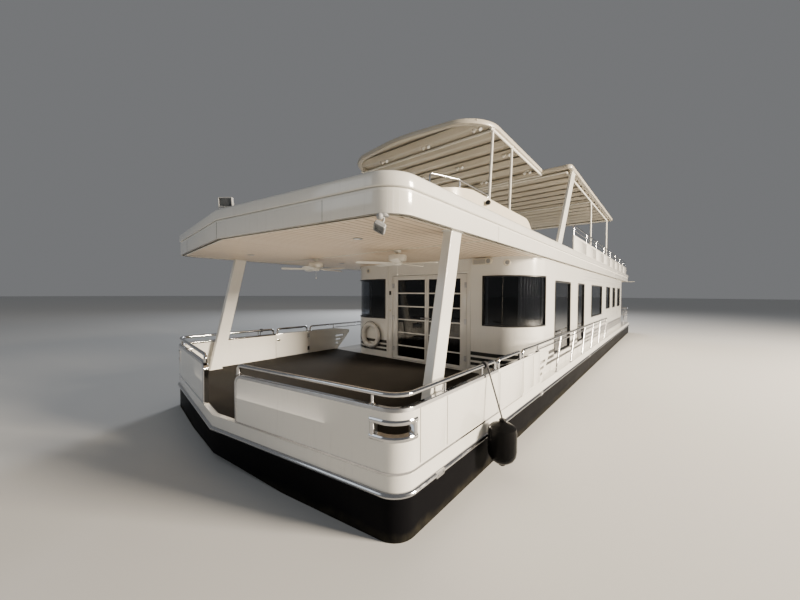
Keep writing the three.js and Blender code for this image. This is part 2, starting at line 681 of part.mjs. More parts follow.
// The hardtop over the bridge runs on aft as a wider top over the upper deck. Both are thin skins with a
// deep edge and ribs across them.
const HARDTOP = { edge: 95, skin: 35, chamfer: [14, 20], rib: 45, border: 90, bay: 515 };
const AFTER_TOP = { half: 2600, front: 6900, aft: 14200, corner: 120 };

// A top from its outline at an offset, and the bays between its ribs from y0 to y1.
function ribbedTop(outlineAt, y0, y1) {
  const top = HARDTOP_LOW + HARDTOP.edge;
  const low = HARDTOP_LOW - 50;
  const [inset, drop] = HARDTOP.chamfer;
  const body = prismZ(outlineAt(0), HARDTOP_LOW, top - drop)
    .add(prismZ(outlineAt(-inset), top - drop - 1, top));
  const hollow = prismZ(outlineAt(-HARDTOP.border), low, top - HARDTOP.skin);
  const count = Math.round((y1 - y0) / HARDTOP.bay);
  const pitch = (y1 - y0) / count;
  const bays = Array.from({ length: count }, (_, i) => {
    const start = y0 + i * pitch + HARDTOP.rib / 2;
    return hollow.intersect(box(-3000, 3000, start, start + pitch - HARDTOP.rib, low, top));
  });
  return { body, bays: union(bays) };
}

// The after top's outline, moved outwards by `off`.
function afterTopPlan(off) {
  const r = AFTER_TOP.corner + off;
  const x = AFTER_TOP.half + off - r;
  const y0 = AFTER_TOP.front - off + r;
  const y1 = AFTER_TOP.aft + off - r;
  return [
    ...arc(x, y0, r, -90, 0, 4), ...arc(x, y1, r, 0, 90, 4),
    ...arc(-x, y1, r, 90, 180, 4), ...arc(-x, y0, r, 180, 270, 4),
  ];
}

function makeHardtop() {
  const bridge = ribbedTop((off) => plan(HARDTOP_PLAN, off), HARDTOP_PLAN.front, AFTER_TOP.front);
  const after = ribbedTop(afterTopPlan, AFTER_TOP.front + 30, AFTER_TOP.aft - HARDTOP.border + 20);
  const hardtop = bridge.body.translate([BRIDGE_X, 0, 0]).add(after.body)
    .subtract(bridge.bays.translate([BRIDGE_X, 0, 0]))
    .subtract(after.bays);
  add('hardtop', hardtop, MATERIAL.cream);
}

// What carries the tops: raking tubes on the coaming, raking box legs and posts on the roof, and tubes
// under the ribs.
const TOP_TUBE = { radius: 24, z: HARDTOP_LOW - 20, inset: 55 };
const BRIDGE_LEG = { feet: [3670, 4590], rake: 370, bars: [4040, 6930] };
const AFTER_POST = { x: 2440, bars: [7100, 10400, 13800] };
const BOX_LEG = { x0: 2500, x1: 2560, foot: 5930, head: 7200, depth: 300 };

// Tubes fore and aft at x0 and x1, joined by cross tubes, that start at `from` under a top.
function topTubes(x0, x1, from, bars) {
  const { z, radius } = TOP_TUBE;
  const last = bars.at(-1);
  return [
    ...[x0, x1].map((x) => tube([[x, from, z], [x, last, z]], radius)),
    ...bars.map((y) => tube([[x0, y, z], [x1, y, z]], radius)),
  ];
}

// The tubes cut off flat under the top and on the surface that they stand on.
function seatedTubes(pieces, foot) {
  return union(pieces)
    .subtract(box(-3000, 3000, 3000, 15000, foot - 400, foot))
    .subtract(box(-3000, 3000, 3000, 15000, HARDTOP_LOW, HARDTOP_LOW + 200));
}

function makeTopFrames() {
  const { radius, z, inset } = TOP_TUBE;
  const half = HARDTOP_PLAN.half - inset;
  const footHalf = COAMING_PLAN.half - COAMING.wall / 2;
  const low = COAMING_TOP - 70;
  const bridge = topTubes(BRIDGE_X - half, BRIDGE_X + half, BRIDGE_LEG.bars[0] - 90, BRIDGE_LEG.bars);
  for (const { sign } of SIDES) {
    for (const y of BRIDGE_LEG.feet) {
      const foot = [BRIDGE_X + sign * footHalf, y, low];
      bridge.push(tube([foot, [BRIDGE_X + sign * half, y + BRIDGE_LEG.rake, z]], radius));
    }
  }
  add('hardtop_frame', seatedTubes(bridge, COAMING_TOP), MATERIAL.gelcoat);

  const { x, bars } = AFTER_POST;
  const after = topTubes(-x, x, bars[0], bars);
  for (const { sign } of SIDES) {
    for (const y of bars.slice(1)) {
      after.push(tube([[sign * x, y, ROOF_TOP - 70], [sign * x, y, z]], radius));
    }
  }
  add('after_top_frame', seatedTubes(after, ROOF_TOP), MATERIAL.gelcoat);

  const { x0, x1, foot, head, depth } = BOX_LEG;
  const leg = prismX([
    [foot, ROOF_TOP], [foot + depth, ROOF_TOP], [head + depth, HARDTOP_LOW], [head, HARDTOP_LOW],
  ], x0, x1);
  for (const { side, sign } of SIDES) {
    add(`raked_leg_${side}`, mirrored(leg, sign), MATERIAL.gelcoat);
  }
}

// The rail around the after part of the upper deck: a low solid panel with two bars above it.
function makeUpperRail() {
  const start = 7300;
  const mid = -15;
  const shell = planWall(UPPER_RAIL_PLAN, 0, -30, ROOF_TOP, ROOF_TOP + 410)
    .intersect(box(-3000, 3000, start, 20200, ROOF_TOP, ROOF_TOP + 410));
  const x = UPPER_RAIL_PLAN.half + mid;
  const aft = UPPER_RAIL_PLAN.aft + mid;
  const foot = ROOF_TOP + 400;
  const high = ROOF_TOP + 650;
  const fore = start + 30;
  const around = (z) => [[x, fore, z], [x, aft, z], [-x, aft, z], [-x, fore, z]];
  const pieces = [
    shell,
    tube([[x, fore, foot], ...around(high), [-x, fore, foot]], 20, 90),
    tube(around(high - 120), 14, 90),
  ];
  for (let y = start + 1630; y < aft - 300; y += 1600) {
    for (const { sign } of SIDES) {
      pieces.push(box(sign * x - 14, sign * x + 14, y - 14, y + 14, foot, high));
    }
  }
  for (const px of [-1300, 0, 1300]) {
    pieces.push(box(px - 14, px + 14, aft - 14, aft + 14, foot, high));
  }
  add('upper_rail', union(pieces), MATERIAL.steel);
}

// A steep stair from the after deck through the roof.
function makeStair() {
  const rise = ROOF_TOP - DECK - 20;
  const y0 = STAIR.y1 - 10;
  const y1 = STAIR.y0;
  const run = y0 - y1;
  const depth = 210;
  const outline = [
    [y0, DECK], [y0 - depth, DECK], [y1, DECK + rise - depth], [y1, DECK + rise], [y1 + 60, DECK + rise],
  ];
  const pieces = [
    prismX(outline, STAIR.x0, STAIR.x0 + 40),
    prismX(outline, STAIR.x1 - 40, STAIR.x1),
  ];
  for (let i = 1; i <= STAIR.steps; i += 1) {
    const z = DECK + (i * rise) / (STAIR.steps + 0.4);
    const y = y0 - (run * (z - DECK)) / rise - 20;
    pieces.push(box(STAIR.x0 + 20, STAIR.x1 - 20, Math.max(y - 190, y1 + 4), y, z - 30, z));
  }
  add('stern_stair', union(pieces), MATERIAL.gelcoat);
}

function makeStern() {
  const face = TRANSOM - HULL_INSET;
  const brackets = [-1200, 1200].map((x) =>
    prismX([[face, 620], [face, 890], [21000, 890], [21000, 850]], x - 30, x + 30));
  const shape = [
    [-1950, face], [1950, face], [1950, PLATFORM_AFT - 220],
    ...arc(1730, PLATFORM_AFT - 220, 220, 0, 90, 4).slice(1),
    ...arc(-1730, PLATFORM_AFT - 220, 220, 90, 180, 4),
  ];
  add('swim_platform', union([prismZ(shape, 880, 940), ...brackets]), MATERIAL.gelcoat);

  const mid = DECK_PLAN.half - 45;
  const aft = TRANSOM - 45;
  for (const { side, sign } of SIDES) {
    const high = DECK + 760;
    const pieces = [
      tube([
        [mid, 17900, DECK], [mid, 17900, high], [mid, aft, high], [620, aft, high], [620, aft, DECK],
      ], 20, 80),
      tube([[mid, 17900, DECK + 400], [mid, aft, DECK + 400], [620, aft, DECK + 400]], 14, 80),
      ...[18700, 19500].map((y) => box(mid - 16, mid + 16, y - 16, y + 16, DECK, high)),
      ...[1350, 2050].map((x) => box(x - 16, x + 16, aft - 16, aft + 16, DECK, high)),
    ];
    add(`aft_rail_${side}`, mirrored(union(pieces), sign), MATERIAL.steel);
  }
}

function makeDrives() {
  const torpedo = [[0, 0], [40, 20], [68, 90], [68, 270], [50, 330], [0, 330]];
  for (const { side, sign } of SIDES) {
    const x = sign * DRIVE_X;
    const boss = turned([[0, 480], [42, 480], [42, 760], [0, 760]], x, DRIVE_PIVOT_Y);
    const leg = prismX([
      [20420, 520], [20420, 740], [20690, 740], [20760, 600], [20750, 330], [20700, 110],
      [20640, 80], [20560, 250], [20540, 420], [20490, 510],
    ], x - 40, x + 40);
    const cowlSide = [[20500, 560], [20500, 742], [20680, 742], [20740, 610], [20730, 560]];
    const cowl = prismX(cowlSide, x - 85, x + 85);
    const plate = box(x - 130, x + 130, 20540, 20830, 528, 540);
    const caseGeometry = new THREE.LatheGeometry(torpedo.map(([r, y]) => new THREE.Vector2(r, y)), 16);
    caseGeometry.translate(x, 20470, PROP_Z);
    const drive = union([boss, leg, cowl, plate, solid(caseGeometry)]);
    add(`sterndrive_${side}`, drive, MATERIAL.drive);

    const hub = new THREE.LatheGeometry(
      [[0, 0], [48, 0], [62, 8], [58, 100], [0, 110]].map(([r, y]) => new THREE.Vector2(r, y)), 16);
    hub.translate(x, 20800 + SEAT_GAP, PROP_Z);
    const blades = [0, 120, 240].map((angle) => {
      const blade = new THREE.CylinderGeometry(78, 78, 8, 10);
      blade.scale(1, 1, 0.8);
      blade.rotateX(Math.PI / 2);
      blade.translate(0, 105, 0);
      blade.rotateY(THREE.MathUtils.degToRad(35));
      blade.rotateX(Math.PI / 2);
      blade.rotateY(THREE.MathUtils.degToRad(angle));
      blade.translate(x, 20860, PROP_Z);
      return solid(blade);
    });
    add(`propeller_${side}`, union([solid(hub), ...blades]), MATERIAL.steel);
  }
}

const RING = { x: -1240, z: DECK + 510, radius: 258, tube: 56 };

function makeLifeRing() {
  const geometry = new THREE.TorusGeometry(RING.radius, RING.tube, 8, 20);
  geometry.rotateX(Math.PI / 2);
  geometry.translate(RING.x, CABIN.front - RING.tube - SEAT_GAP, RING.z);
  add('life_ring', solid(geometry), MATERIAL.ring);
}

const FENDER = { y: 2060, radius: 165, low: 690, high: 1230 };

function makeFenders() {
  const { y, radius, low, high } = FENDER;
  const x = DECK_PLAN.half + RUB + radius + 0.5;
  const profile = [
    [0, low], [40, low], [120, low + 45], [radius, low + 120], [radius, high - 150], [120, high - 70],
    [45, high - 35], [36, high], [0, high],
  ];
  const railX = DECK_PLAN.half - BULWARK / 2;
  const lanyard = tube([[x, y, high - 15], [railX + 33, y, RAIL_Z + 4]], 7);
  const fender = union([turned(profile, x, y), lanyard]);
  for (const { side, sign } of SIDES) {
    add(`fender_${side}`, mirrored(fender, sign), MATERIAL.rubber);
  }
}

makeHull();
makeDeck();
makeBow();
makeGates();
makeSidePanels();
makeSideRails();
makeColumns();
makeRoof();
makeCabin();
makeDoors();
makeFans();
makeCoaming();
makeHelm();
makeHardtop();
makeTopFrames();
makeUpperRail();
makeStair();
makeStern();
makeDrives();
makeLifeRing();
makeFenders();

export default group;
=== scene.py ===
"""Dresses the houseboat: its coats, glass, rails, fittings and soft goods, around the fixed frame.

Every shape is made in the boat's own measures, in metres: X to port, Y aft of the bow's tip and Z above
the deck. A finished piece is then set into the frame, whose origin lies amidships under the flat bottom.
"""

from __future__ import annotations

import logging
import math
from dataclasses import dataclass
from enum import Enum
from typing import Callable, Iterable, Sequence

import bmesh
import bpy
from mathutils import Matrix, Vector

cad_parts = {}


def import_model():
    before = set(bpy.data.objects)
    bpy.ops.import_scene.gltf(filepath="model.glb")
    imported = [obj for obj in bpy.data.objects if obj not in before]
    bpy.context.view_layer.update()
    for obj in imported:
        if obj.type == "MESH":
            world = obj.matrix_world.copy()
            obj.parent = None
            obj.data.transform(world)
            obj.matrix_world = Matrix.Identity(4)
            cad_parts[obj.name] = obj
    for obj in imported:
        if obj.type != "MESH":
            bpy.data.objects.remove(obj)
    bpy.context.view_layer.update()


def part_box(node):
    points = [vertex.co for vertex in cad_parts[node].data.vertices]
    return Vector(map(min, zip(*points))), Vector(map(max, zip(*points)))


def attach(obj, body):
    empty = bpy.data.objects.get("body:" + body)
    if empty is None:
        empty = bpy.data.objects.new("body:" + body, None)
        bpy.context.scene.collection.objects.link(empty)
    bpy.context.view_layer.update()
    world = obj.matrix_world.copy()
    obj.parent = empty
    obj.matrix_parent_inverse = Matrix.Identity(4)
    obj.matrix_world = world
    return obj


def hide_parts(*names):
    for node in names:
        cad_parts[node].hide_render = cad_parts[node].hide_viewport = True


LOG = logging.getLogger("houseboat")

Pair = tuple[float, float]
Colour = tuple[float, float, float]
Corner = tuple[float, float, float]
Stop = tuple[float, float, float, float]

# Levels above the deck.
CEILING = 2.230
ROOF = 2.590
RAIL = 0.680
CAP = 0.566
HARDTOP = 4.530
WATER = -0.580

# The bulwark's wall, the gates in it and the gap at the bow.
BULWARK = 0.060
BOW_GAP = 0.480
GATE = (2.400, 3.300)
PANEL_AFT = 4.150

# The radii of the rails' tubes, and the profile of a hinge's pin.
RAIL_TUBE = 0.0245
DECK_RAIL_TUBE = 0.0195
POST_TUBE = 0.0145
BAR_TUBE = 0.0135
HINGE_PIN = (
    (0.0, -0.055), (0.006, -0.055), (0.0077, -0.053), (0.0077, 0.053), (0.006, 0.055), (0.0, 0.055),
)

# The cabin's outer faces.
CABIN_PORT = 2.600
CABIN_STARBOARD = -2.120
CABIN_FRONT = 4.150
CABIN_AFT = 17.800
CABIN_CORNER = 0.750
WINDOW_LOW = 0.940
WINDOW_HIGH = 1.865

# The bridge, its coaming and its top stand to port of the centreline.
BRIDGE_X = 0.240


class Facing(Enum):
    """The plane that an outline is drawn in: plan, seen from ahead, or seen from the side."""

    PLAN = ((1, 0, 0), (0, 1, 0), (0, 0, 1))
    FRONT = ((1, 0, 0), (0, 0, 1), (0, 1, 0))
    SIDE = ((0, 1, 0), (0, 0, 1), (1, 0, 0))

    def matrix(self) -> Matrix:
        """The turn from the outline's own axes to the boat's."""
        return Matrix(self.value).transposed().to_4x4()


class Side(Enum):
    """A side of the boat, and the sign of its X."""

    PORT = 1
    STARBOARD = -1

    def named(self, stem: str) -> str:
        """A name that ends in this side."""
        return f"{stem}_{self.name.lower()}"


@dataclass(frozen=True)
class PlanLine:
    """An outline in plan: a shallow V at the front, round front corners and straight sides."""

    half: float
    front: float
    slope: float
    corner: float
    aft: float
    tip: float = 0.0

    def lean(self) -> float:
        """How much longer the slanted front is than its width."""
        return math.hypot(1.0, self.slope)

    def front_at(self, x: float, out: float = 0.0) -> float:
        """Where the front lies at a distance off the centreline.

        Args:
            x: The distance off the centreline.
            out: How far the outline is moved outwards.

        Returns:
            The distance aft of the bow's tip.
        """
        return self.front + self.slope * abs(x) - out * self.lean()

    def edge_at(self, x: float, out: float = 0.0) -> float:
        """Where the outline starts at a distance off the centreline, its round corners counted.

        Args:
            x: The distance off the centreline.
            out: How far the outline is moved outwards.

        Returns:
            The distance aft of the bow's tip.
        """
        inner = self.half - self.corner
        if abs(x) <= inner:
            return self.front_at(x, out)
        radius = self.corner + out
        centre = self.front_at(inner) + self.corner * self.lean()
        return centre - math.sqrt(max(radius**2 - (abs(x) - inner) ** 2, 0.0))

    def half_at(self, y: float, out: float = 0.0) -> float:
        """Half the outline's width at a distance aft of the bow's tip, its round corners counted.

        Args:
            y: The distance aft of the bow's tip.
            out: How far the outline is moved outwards.

        Returns:
            Half the width there.
        """
        inner = self.half - self.corner
        centre = self.front_at(inner) + self.corner * self.lean()
        return inner + math.sqrt(max((self.corner + out) ** 2 - max(centre - y, 0.0) ** 2, 0.0))

    def corners(self, out: float = 0.0) -> list[Corner]:
        """The outline's corners, each with its radius.

        Args:
            out: How far the outline is moved outwards.

        Returns:
            Corners as (x, y, radius), from the tip round by way of port.
        """
        side = self.half + out
        front = self.front_at(side, out)
        radius = self.corner + out
        aft = self.aft + out
        return [
            (0.0, self.front_at(0.0, out), self.tip + out if self.tip else 0.0),
            (side, front, radius),
            (side, aft, 0.02),
            (-side, aft, 0.02),
            (-side, front, radius),
        ]


DECK_LINE = PlanLine(half=2.740, front=0.020, slope=0.15, corner=0.230, aft=20.300)
ROOF_LINE = PlanLine(half=2.665, front=0.090, slope=0.13, corner=0.300, aft=20.200)
COAMING_LINE = PlanLine(half=1.810, front=1.950, slope=0.10, corner=0.700, aft=7.000, tip=3.000)
HARDTOP_LINE = PlanLine(half=1.720, front=3.300, slope=0.14, corner=0.750, aft=6.899, tip=3.000)


def outline_face(bm: bmesh.types.BMesh, outline: Sequence[Corner], arc: int) -> bmesh.types.BMFace:
    """Makes one flat face from corners and rounds each by its own radius.

    Args:
        bm: The mesh that gets the face.
        outline: Corners as (u, v, radius).
        arc: Steps in each rounded corner.

    Returns:
        The face.
    """
    verts = [bm.verts.new((u, v, 0.0)) for u, v, _ in outline]
    bm.faces.new(verts)
    for i, (u, v, radius) in enumerate(outline):
        if radius <= 0:
            continue
        here = Vector((u, v))
        before = Vector(outline[i - 1][:2]) - here
        after = Vector(outline[(i + 1) % len(outline)][:2]) - here
        reach = radius * math.tan((math.pi - before.angle(after)) / 2)
        bmesh.ops.bevel(
            bm, geom=[verts[i]], offset=reach, offset_type="OFFSET", segments=arc, profile=0.5,
            affect="VERTICES", clamp_overlap=True, material=-1,
        )
    bm.faces.ensure_lookup_table()
    return bm.faces[0]


def aim(at: Sequence[float], direction: Sequence[float]) -> Matrix:
    """A placing that puts the origin at a point and turns Z towards a direction."""
    return Matrix.Translation(Vector(at)) @ Vector(direction).to_track_quat("Z", "Y").to_matrix().to_4x4()


def rectangle(u0: float, v0: float, u1: float, v1: float, *radius: float) -> list[tuple[float, ...]]:
    """The corners of a rectangle, each with the radius if one is given."""
    return [(u, v, *radius) for u, v in ((u0, v0), (u1, v0), (u1, v1), (u0, v1))]


def circle(radius: float, sides: int, centre: float = 0.0, closed: bool = False) -> list[Pair]:
    """The points of a circle.

    Args:
        radius: Its radius.
        sides: How many points go once round it.
        centre: How far out its centre lies.
        closed: Whether the last point comes back to the first.

    Returns:
        The points.
    """
    turns = (2 * math.pi * i / sides for i in range(sides + closed))
    return [(centre + radius * math.cos(turn), radius * math.sin(turn)) for turn in turns]


def foot_ring(radius: float, rim: float, waist: float, tall: float) -> list[Pair]:
    """The profile of a round foot: its rim stands up to `rim`, then it draws in to the waist at its top."""
    return [(0.0, 0.0), (radius, 0.0), (radius, rim), (waist, tall), (0.0, tall)]


class Bench:
    """A mesh being made, with the operations that the boat's pieces share."""

    datum = Vector((0.0, 0.0, 0.0))
    locker: Locker

    def __init__(self) -> None:
        """Starts an empty mesh."""
        self.bm = bmesh.new()

    @classmethod
    def copied(cls, node: str) -> "Bench":
        """A merged copy of a CAD node's solid, with its flat faces joined up.

        Args:
            node: The CAD node.

        Returns:
            The copy, on a bench of its own.
        """
        bench = cls()
        bm = bench.bm
        bm.from_mesh(bpy.data.objects[node].data)
        bmesh.ops.remove_doubles(bm, verts=bm.verts, dist=1e-5)
        bmesh.ops.dissolve_limit(
            bm, angle_limit=math.radians(0.8), verts=bm.verts, edges=bm.edges, delimit={"NORMAL"}
        )
        bmesh.ops.translate(bm, vec=-cls.datum, verts=bm.verts)
        return bench

    def set_in(self, other: "Bench", place: Matrix | None = None) -> "Bench":
        """Copies another bench's shape into this one, moved by a placing.

        Args:
            other: The bench that is copied.
            place: The placing, if it is moved.

        Returns:
            This bench.
        """
        mesh = bpy.data.meshes.new("copy")
        other.bm.to_mesh(mesh)
        if place is not None:
            mesh.transform(place)
        self.bm.from_mesh(mesh)
        bpy.data.meshes.remove(mesh)
        return self

    def round_edges(self, edges: Iterable[bmesh.types.BMEdge], edge: float, steps: int = 2) -> None:
        """Rounds the given edges.

        Args:
            edges: The edges.
            edge: Their rounding.
            steps: Steps in it.
        """
        bmesh.ops.bevel(
            self.bm, geom=list(edges), offset=edge, offset_type="OFFSET", segments=steps, profile=0.5,
            affect="EDGES", clamp_overlap=True, material=-1,
        )

    def block(
        self, low: Sequence[float], high: Sequence[float], edge: float = 0.0, steps: int = 2
    ) -> "Bench":
        """Adds a box between two corners, its edges rounded.

        Args:
            low: Its lowest corner.
            high: Its highest corner.
            edge: The rounding of its edges.
            steps: Steps in that rounding.

        Returns:
            This bench.
        """
        size = Vector(high) - Vector(low)
        middle = (Vector(high) + Vector(low)) / 2
        place = Matrix.LocRotScale(middle, None, size)
        verts = bmesh.ops.create_cube(self.bm, size=1.0, matrix=place)["verts"]
        if edge > 0:
            self.round_edges({e for v in verts for e in v.link_edges}, edge, steps)
        return self

    def plate(
        self, outline: Sequence[Corner], low: float, high: float, facing: Facing = Facing.PLAN,
        edge: float = 0.0, arc: int = 8,
    ) -> "Bench":
        """Adds a plate: an outline drawn out from `low` to `high` across its own plane.

        Args:
            outline: Corners as (u, v, radius).
            low: Where the plate starts.
            high: Where it ends.
            facing: The plane that the outline is drawn in.
            edge: The rounding of its rims.
            arc: Steps in each rounded corner.

        Returns:
            This bench.
        """
        own = Bench()
        face = outline_face(own.bm, outline, arc)
        drawn = bmesh.ops.extrude_face_region(own.bm, geom=[face])["geom"]
        upper = [g for g in drawn if isinstance(g, bmesh.types.BMVert)]
        bmesh.ops.translate(own.bm, vec=(0, 0, high - low), verts=upper)
        if edge > 0:
            rims = [e for e in own.bm.edges if abs(e.verts[0].co.z - e.verts[1].co.z) < 1e-6]
            own.round_edges(rims, edge)
        return self.set_in(own, facing.matrix() @ Matrix.Translation((0, 0, low)))

    def moulding(
        self, outline: Sequence[Corner], low: float, profile: Sequence[Pair],
        arc: int = 16, facing: Facing = Facing.PLAN, solid: bool = False,
    ) -> "Bench":
        """Adds a closed band round an outline, or a solid whose rim has the band's section.

        Args:
            outline: The band's first loop, as (u, v, radius).
            low: The level of that loop.
            profile: Steps as (inwards, up) that carry the loop round the band's section.
            arc: Steps in each rounded corner.
            facing: The plane that the outline is drawn in.
            solid: Whether the first and the last loop are closed by faces, and not joined to each other.

        Returns:
            This bench.
        """
        own = Bench()
        face = outline_face(own.bm, outline, arc)
        first = list(face.edges)
        for inwards, up in profile:
            bmesh.ops.inset_individual(
                own.bm, faces=[face], thickness=inwards, depth=up, use_even_offset=True
            )
        if solid:
            bmesh.ops.holes_fill(own.bm, edges=first, sides=0)
        else:
            last = list(face.edges)
            bmesh.ops.delete(own.bm, geom=[face], context="FACES_ONLY")
            bmesh.ops.bridge_loops(own.bm, edges=first + last)
        return self.set_in(own, facing.matrix() @ Matrix.Translation((0, 0, low)))

    def sweep(
        self, section: Sequence[Pair], route: Sequence[Stop], facing: Sequence[float],
        steps: int = 6,
    ) -> "Bench":
        """Carries a section along a route: straight runs are drawn out and corners are spun.

        Args:
            section: The section's points, the second number towards `facing`.
            route: Corners as (x, y, z, bend radius).
            facing: The way the section's second axis points at the start.
            steps: Steps in each bend.

        Returns:
            This bench.
        """
        bm = self.bm
        points = [Vector(stop[:3]) for stop in route]
        heading = (points[1] - points[0]).normalized()
        second = Vector(facing)
        second = (second - heading * second.dot(heading)).normalized()
        first = second.cross(heading)
        here = points[0]
        start = bm.faces.new([bm.verts.new(here + first * a + second * b) for a, b in section])
        edges = list(start.edges)
        for i in range(1, len(points) - 1):
            onward = (points[i + 1] - points[i]).normalized()
            turn = heading.angle(onward)
            if turn < 1e-3:
                continue
            radius = route[i][3]
            reach = radius * math.tan(turn / 2)
            stop = points[i] - heading * reach
            edges = self._drawn(edges, stop - here)
            axis = heading.cross(onward).normalized()
            centre = stop + axis.cross(heading) * radius
            spun = bmesh.ops.spin(
                bm, geom=edges, cent=centre, axis=axis, angle=turn, steps=steps, use_merge=False
            )
            edges = [g for g in spun["geom_last"] if isinstance(g, bmesh.types.BMEdge)]
            here = points[i] + onward * reach
            heading = onward
        edges = self._drawn(edges, points[-1] - here)
        bmesh.ops.contextual_create(bm, geom=edges)
        return self

    def _drawn(self, edges: list[bmesh.types.BMEdge], by: Vector) -> list[bmesh.types.BMEdge]:
        """Draws a loop of edges out by a vector, and returns the new loop.

        Args:
            edges: The loop.
            by: The vector.

        Returns:
            The new loop.
        """
        made = bmesh.ops.extrude_edge_only(self.bm, edges=edges)["geom"]
        fresh = {g for g in made if isinstance(g, bmesh.types.BMVert)}
        bmesh.ops.translate(self.bm, vec=by, verts=list(fresh))
        return [
            g for g in made
            if isinstance(g, bmesh.types.BMEdge) and g.verts[0] in fresh and g.verts[1] in fresh
        ]

    def tube(
        self, route: Sequence[Sequence[float]], radius: float, bend: float = 0.06, sides: int = 14,
        steps: int = 6,
    ) -> "Bench":
        """Adds a round tube through corner points, all bent to one radius.

        Args:
            route: The tube's corner points.
            radius: Its radius.
            bend: The radius of its bends.
            sides: How many sides it has.
            steps: Steps in each bend.

        Returns:
            This bench.
        """
        heading = (Vector(route[1]) - Vector(route[0])).normalized()
        facing = (0, 0, 1) if abs(heading.z) < 0.9 else (0, 1, 0)
        return self.sweep(circle(radius, sides), [(*p, bend) for p in route], facing, steps)

    def lathe(self, profile: Sequence[Pair], place: Matrix, steps: int = 24) -> "Bench":
        """Adds a turned shape.

        Args:
            profile: Points as (radius, height) along its own Z.
            place: Where it is put, and which way its Z points.
            steps: Steps in the full turn.

        Returns:
            This bench.
        """
        own = Bench()
        bm = own.bm
        verts = [bm.verts.new((r, 0.0, z)) for r, z in profile]
        edges = [bm.edges.new(pair) for pair in zip(verts, verts[1:])]
        bmesh.ops.spin(
            bm, geom=verts + edges, cent=(0, 0, 0), axis=(0, 0, 1), angle=2 * math.pi, steps=steps,
            use_merge=True,
        )
        bmesh.ops.remove_doubles(bm, verts=bm.verts, dist=1e-6)
        return self.set_in(own, place)

    def cut(self, at: Sequence[float], away: Sequence[float]) -> "Bench":
        """Cuts off what lies beyond a plane, on the side that `away` points to, and closes the cut.

        Args:
            at: A point of the plane.
            away: The way it faces.

        Returns:
            This bench.
        """
        bm = self.bm
        geom = list(bm.verts) + list(bm.edges) + list(bm.faces)
        made = bmesh.ops.bisect_plane(
            bm, geom=geom, dist=1e-6, plane_co=Vector(at), plane_no=Vector(away), clear_outer=True
        )["geom_cut"]
        edges = [g for g in made if isinstance(g, bmesh.types.BMEdge)]
        bmesh.ops.holes_fill(bm, edges=edges, sides=0)
        return self

    def opening(self, low: Sequence[float], high: Sequence[float]) -> "Bench":
        """Cuts an opening through a wall: what lies between two corners goes, and its edges are walled.

        Args:
            low: The opening's lowest corner.
            high: Its highest corner.

        Returns:
            This bench.
        """
        bm = self.bm
        for axis in range(3):
            for level in (low[axis], high[axis]):
                near = [
                    f for f in bm.faces
                    if all(
                        min(v.co[k] for v in f.verts) < high[k] + 1e-4
                        and max(v.co[k] for v in f.verts) > low[k] - 1e-4
                        for k in range(3)
                    )
                ]
                geom = set(near)
                for face in near:
                    geom.update(face.edges)
                    geom.update(face.verts)
                plane = [0.0, 0.0, 0.0]
                plane[axis] = level
                across = [float(k == axis) for k in range(3)]
                bmesh.ops.bisect_plane(bm, geom=list(geom), dist=1e-6, plane_co=plane, plane_no=across)
        inside = [
            f for f in bm.faces
            if all(low[k] < f.calc_center_median()[k] < high[k] for k in range(3))
        ]
        bmesh.ops.delete(bm, geom=inside, context="FACES")
        rims = [e for e in bm.edges if e.is_boundary]
        bmesh.ops.bridge_loops(bm, edges=rims)
        return self

    def opening_clear(self, low: Sequence[float], high: Sequence[float]) -> "Bench":
        """Cuts solid bars back to the edges of a rectangle in plan, and closes their ends.

        Args:
            low: The rectangle's lowest corner in plan.
            high: Its highest corner.

        Returns:
            This bench.
        """
        bm = self.bm
        bounds = ((0, low[0]), (0, high[0]), (1, low[1]), (1, high[1]))
        for axis, level in bounds:
            plane = [0.0, 0.0, 0.0]
            plane[axis] = level
            across = [float(k == axis) for k in range(3)]
            geom = list(bm.verts) + list(bm.edges) + list(bm.faces)
            bmesh.ops.bisect_plane(bm, geom=geom, dist=1e-6, plane_co=plane, plane_no=across)
        inside = [
            f for f in bm.faces
            if all(low[k] < f.calc_center_median()[k] < high[k] for k in range(2))
        ]
        bmesh.ops.delete(bm, geom=inside, context="FACES")
        bmesh.ops.holes_fill(bm, edges=[e for e in bm.edges if e.is_boundary], sides=0)
        return self

    def moved(self, by: Sequence[float]) -> "Bench":
        """Moves the whole mesh.

        Args:
            by: How far along each axis.

        Returns:
            This bench.
        """
        bmesh.ops.translate(self.bm, vec=Vector(by), verts=self.bm.verts)
        return self

    def mirrored(self, side: Side) -> "Bench":
        """Turns a port shape into its starboard twin where the side asks for it.

        Args:
            side: The side that the shape is for.

        Returns:
            This bench.
        """
        if side is Side.STARBOARD:
            bmesh.ops.scale(self.bm, vec=(-1, 1, 1), verts=self.bm.verts)
            bmesh.ops.reverse_faces(self.bm, faces=self.bm.faces)
        return self

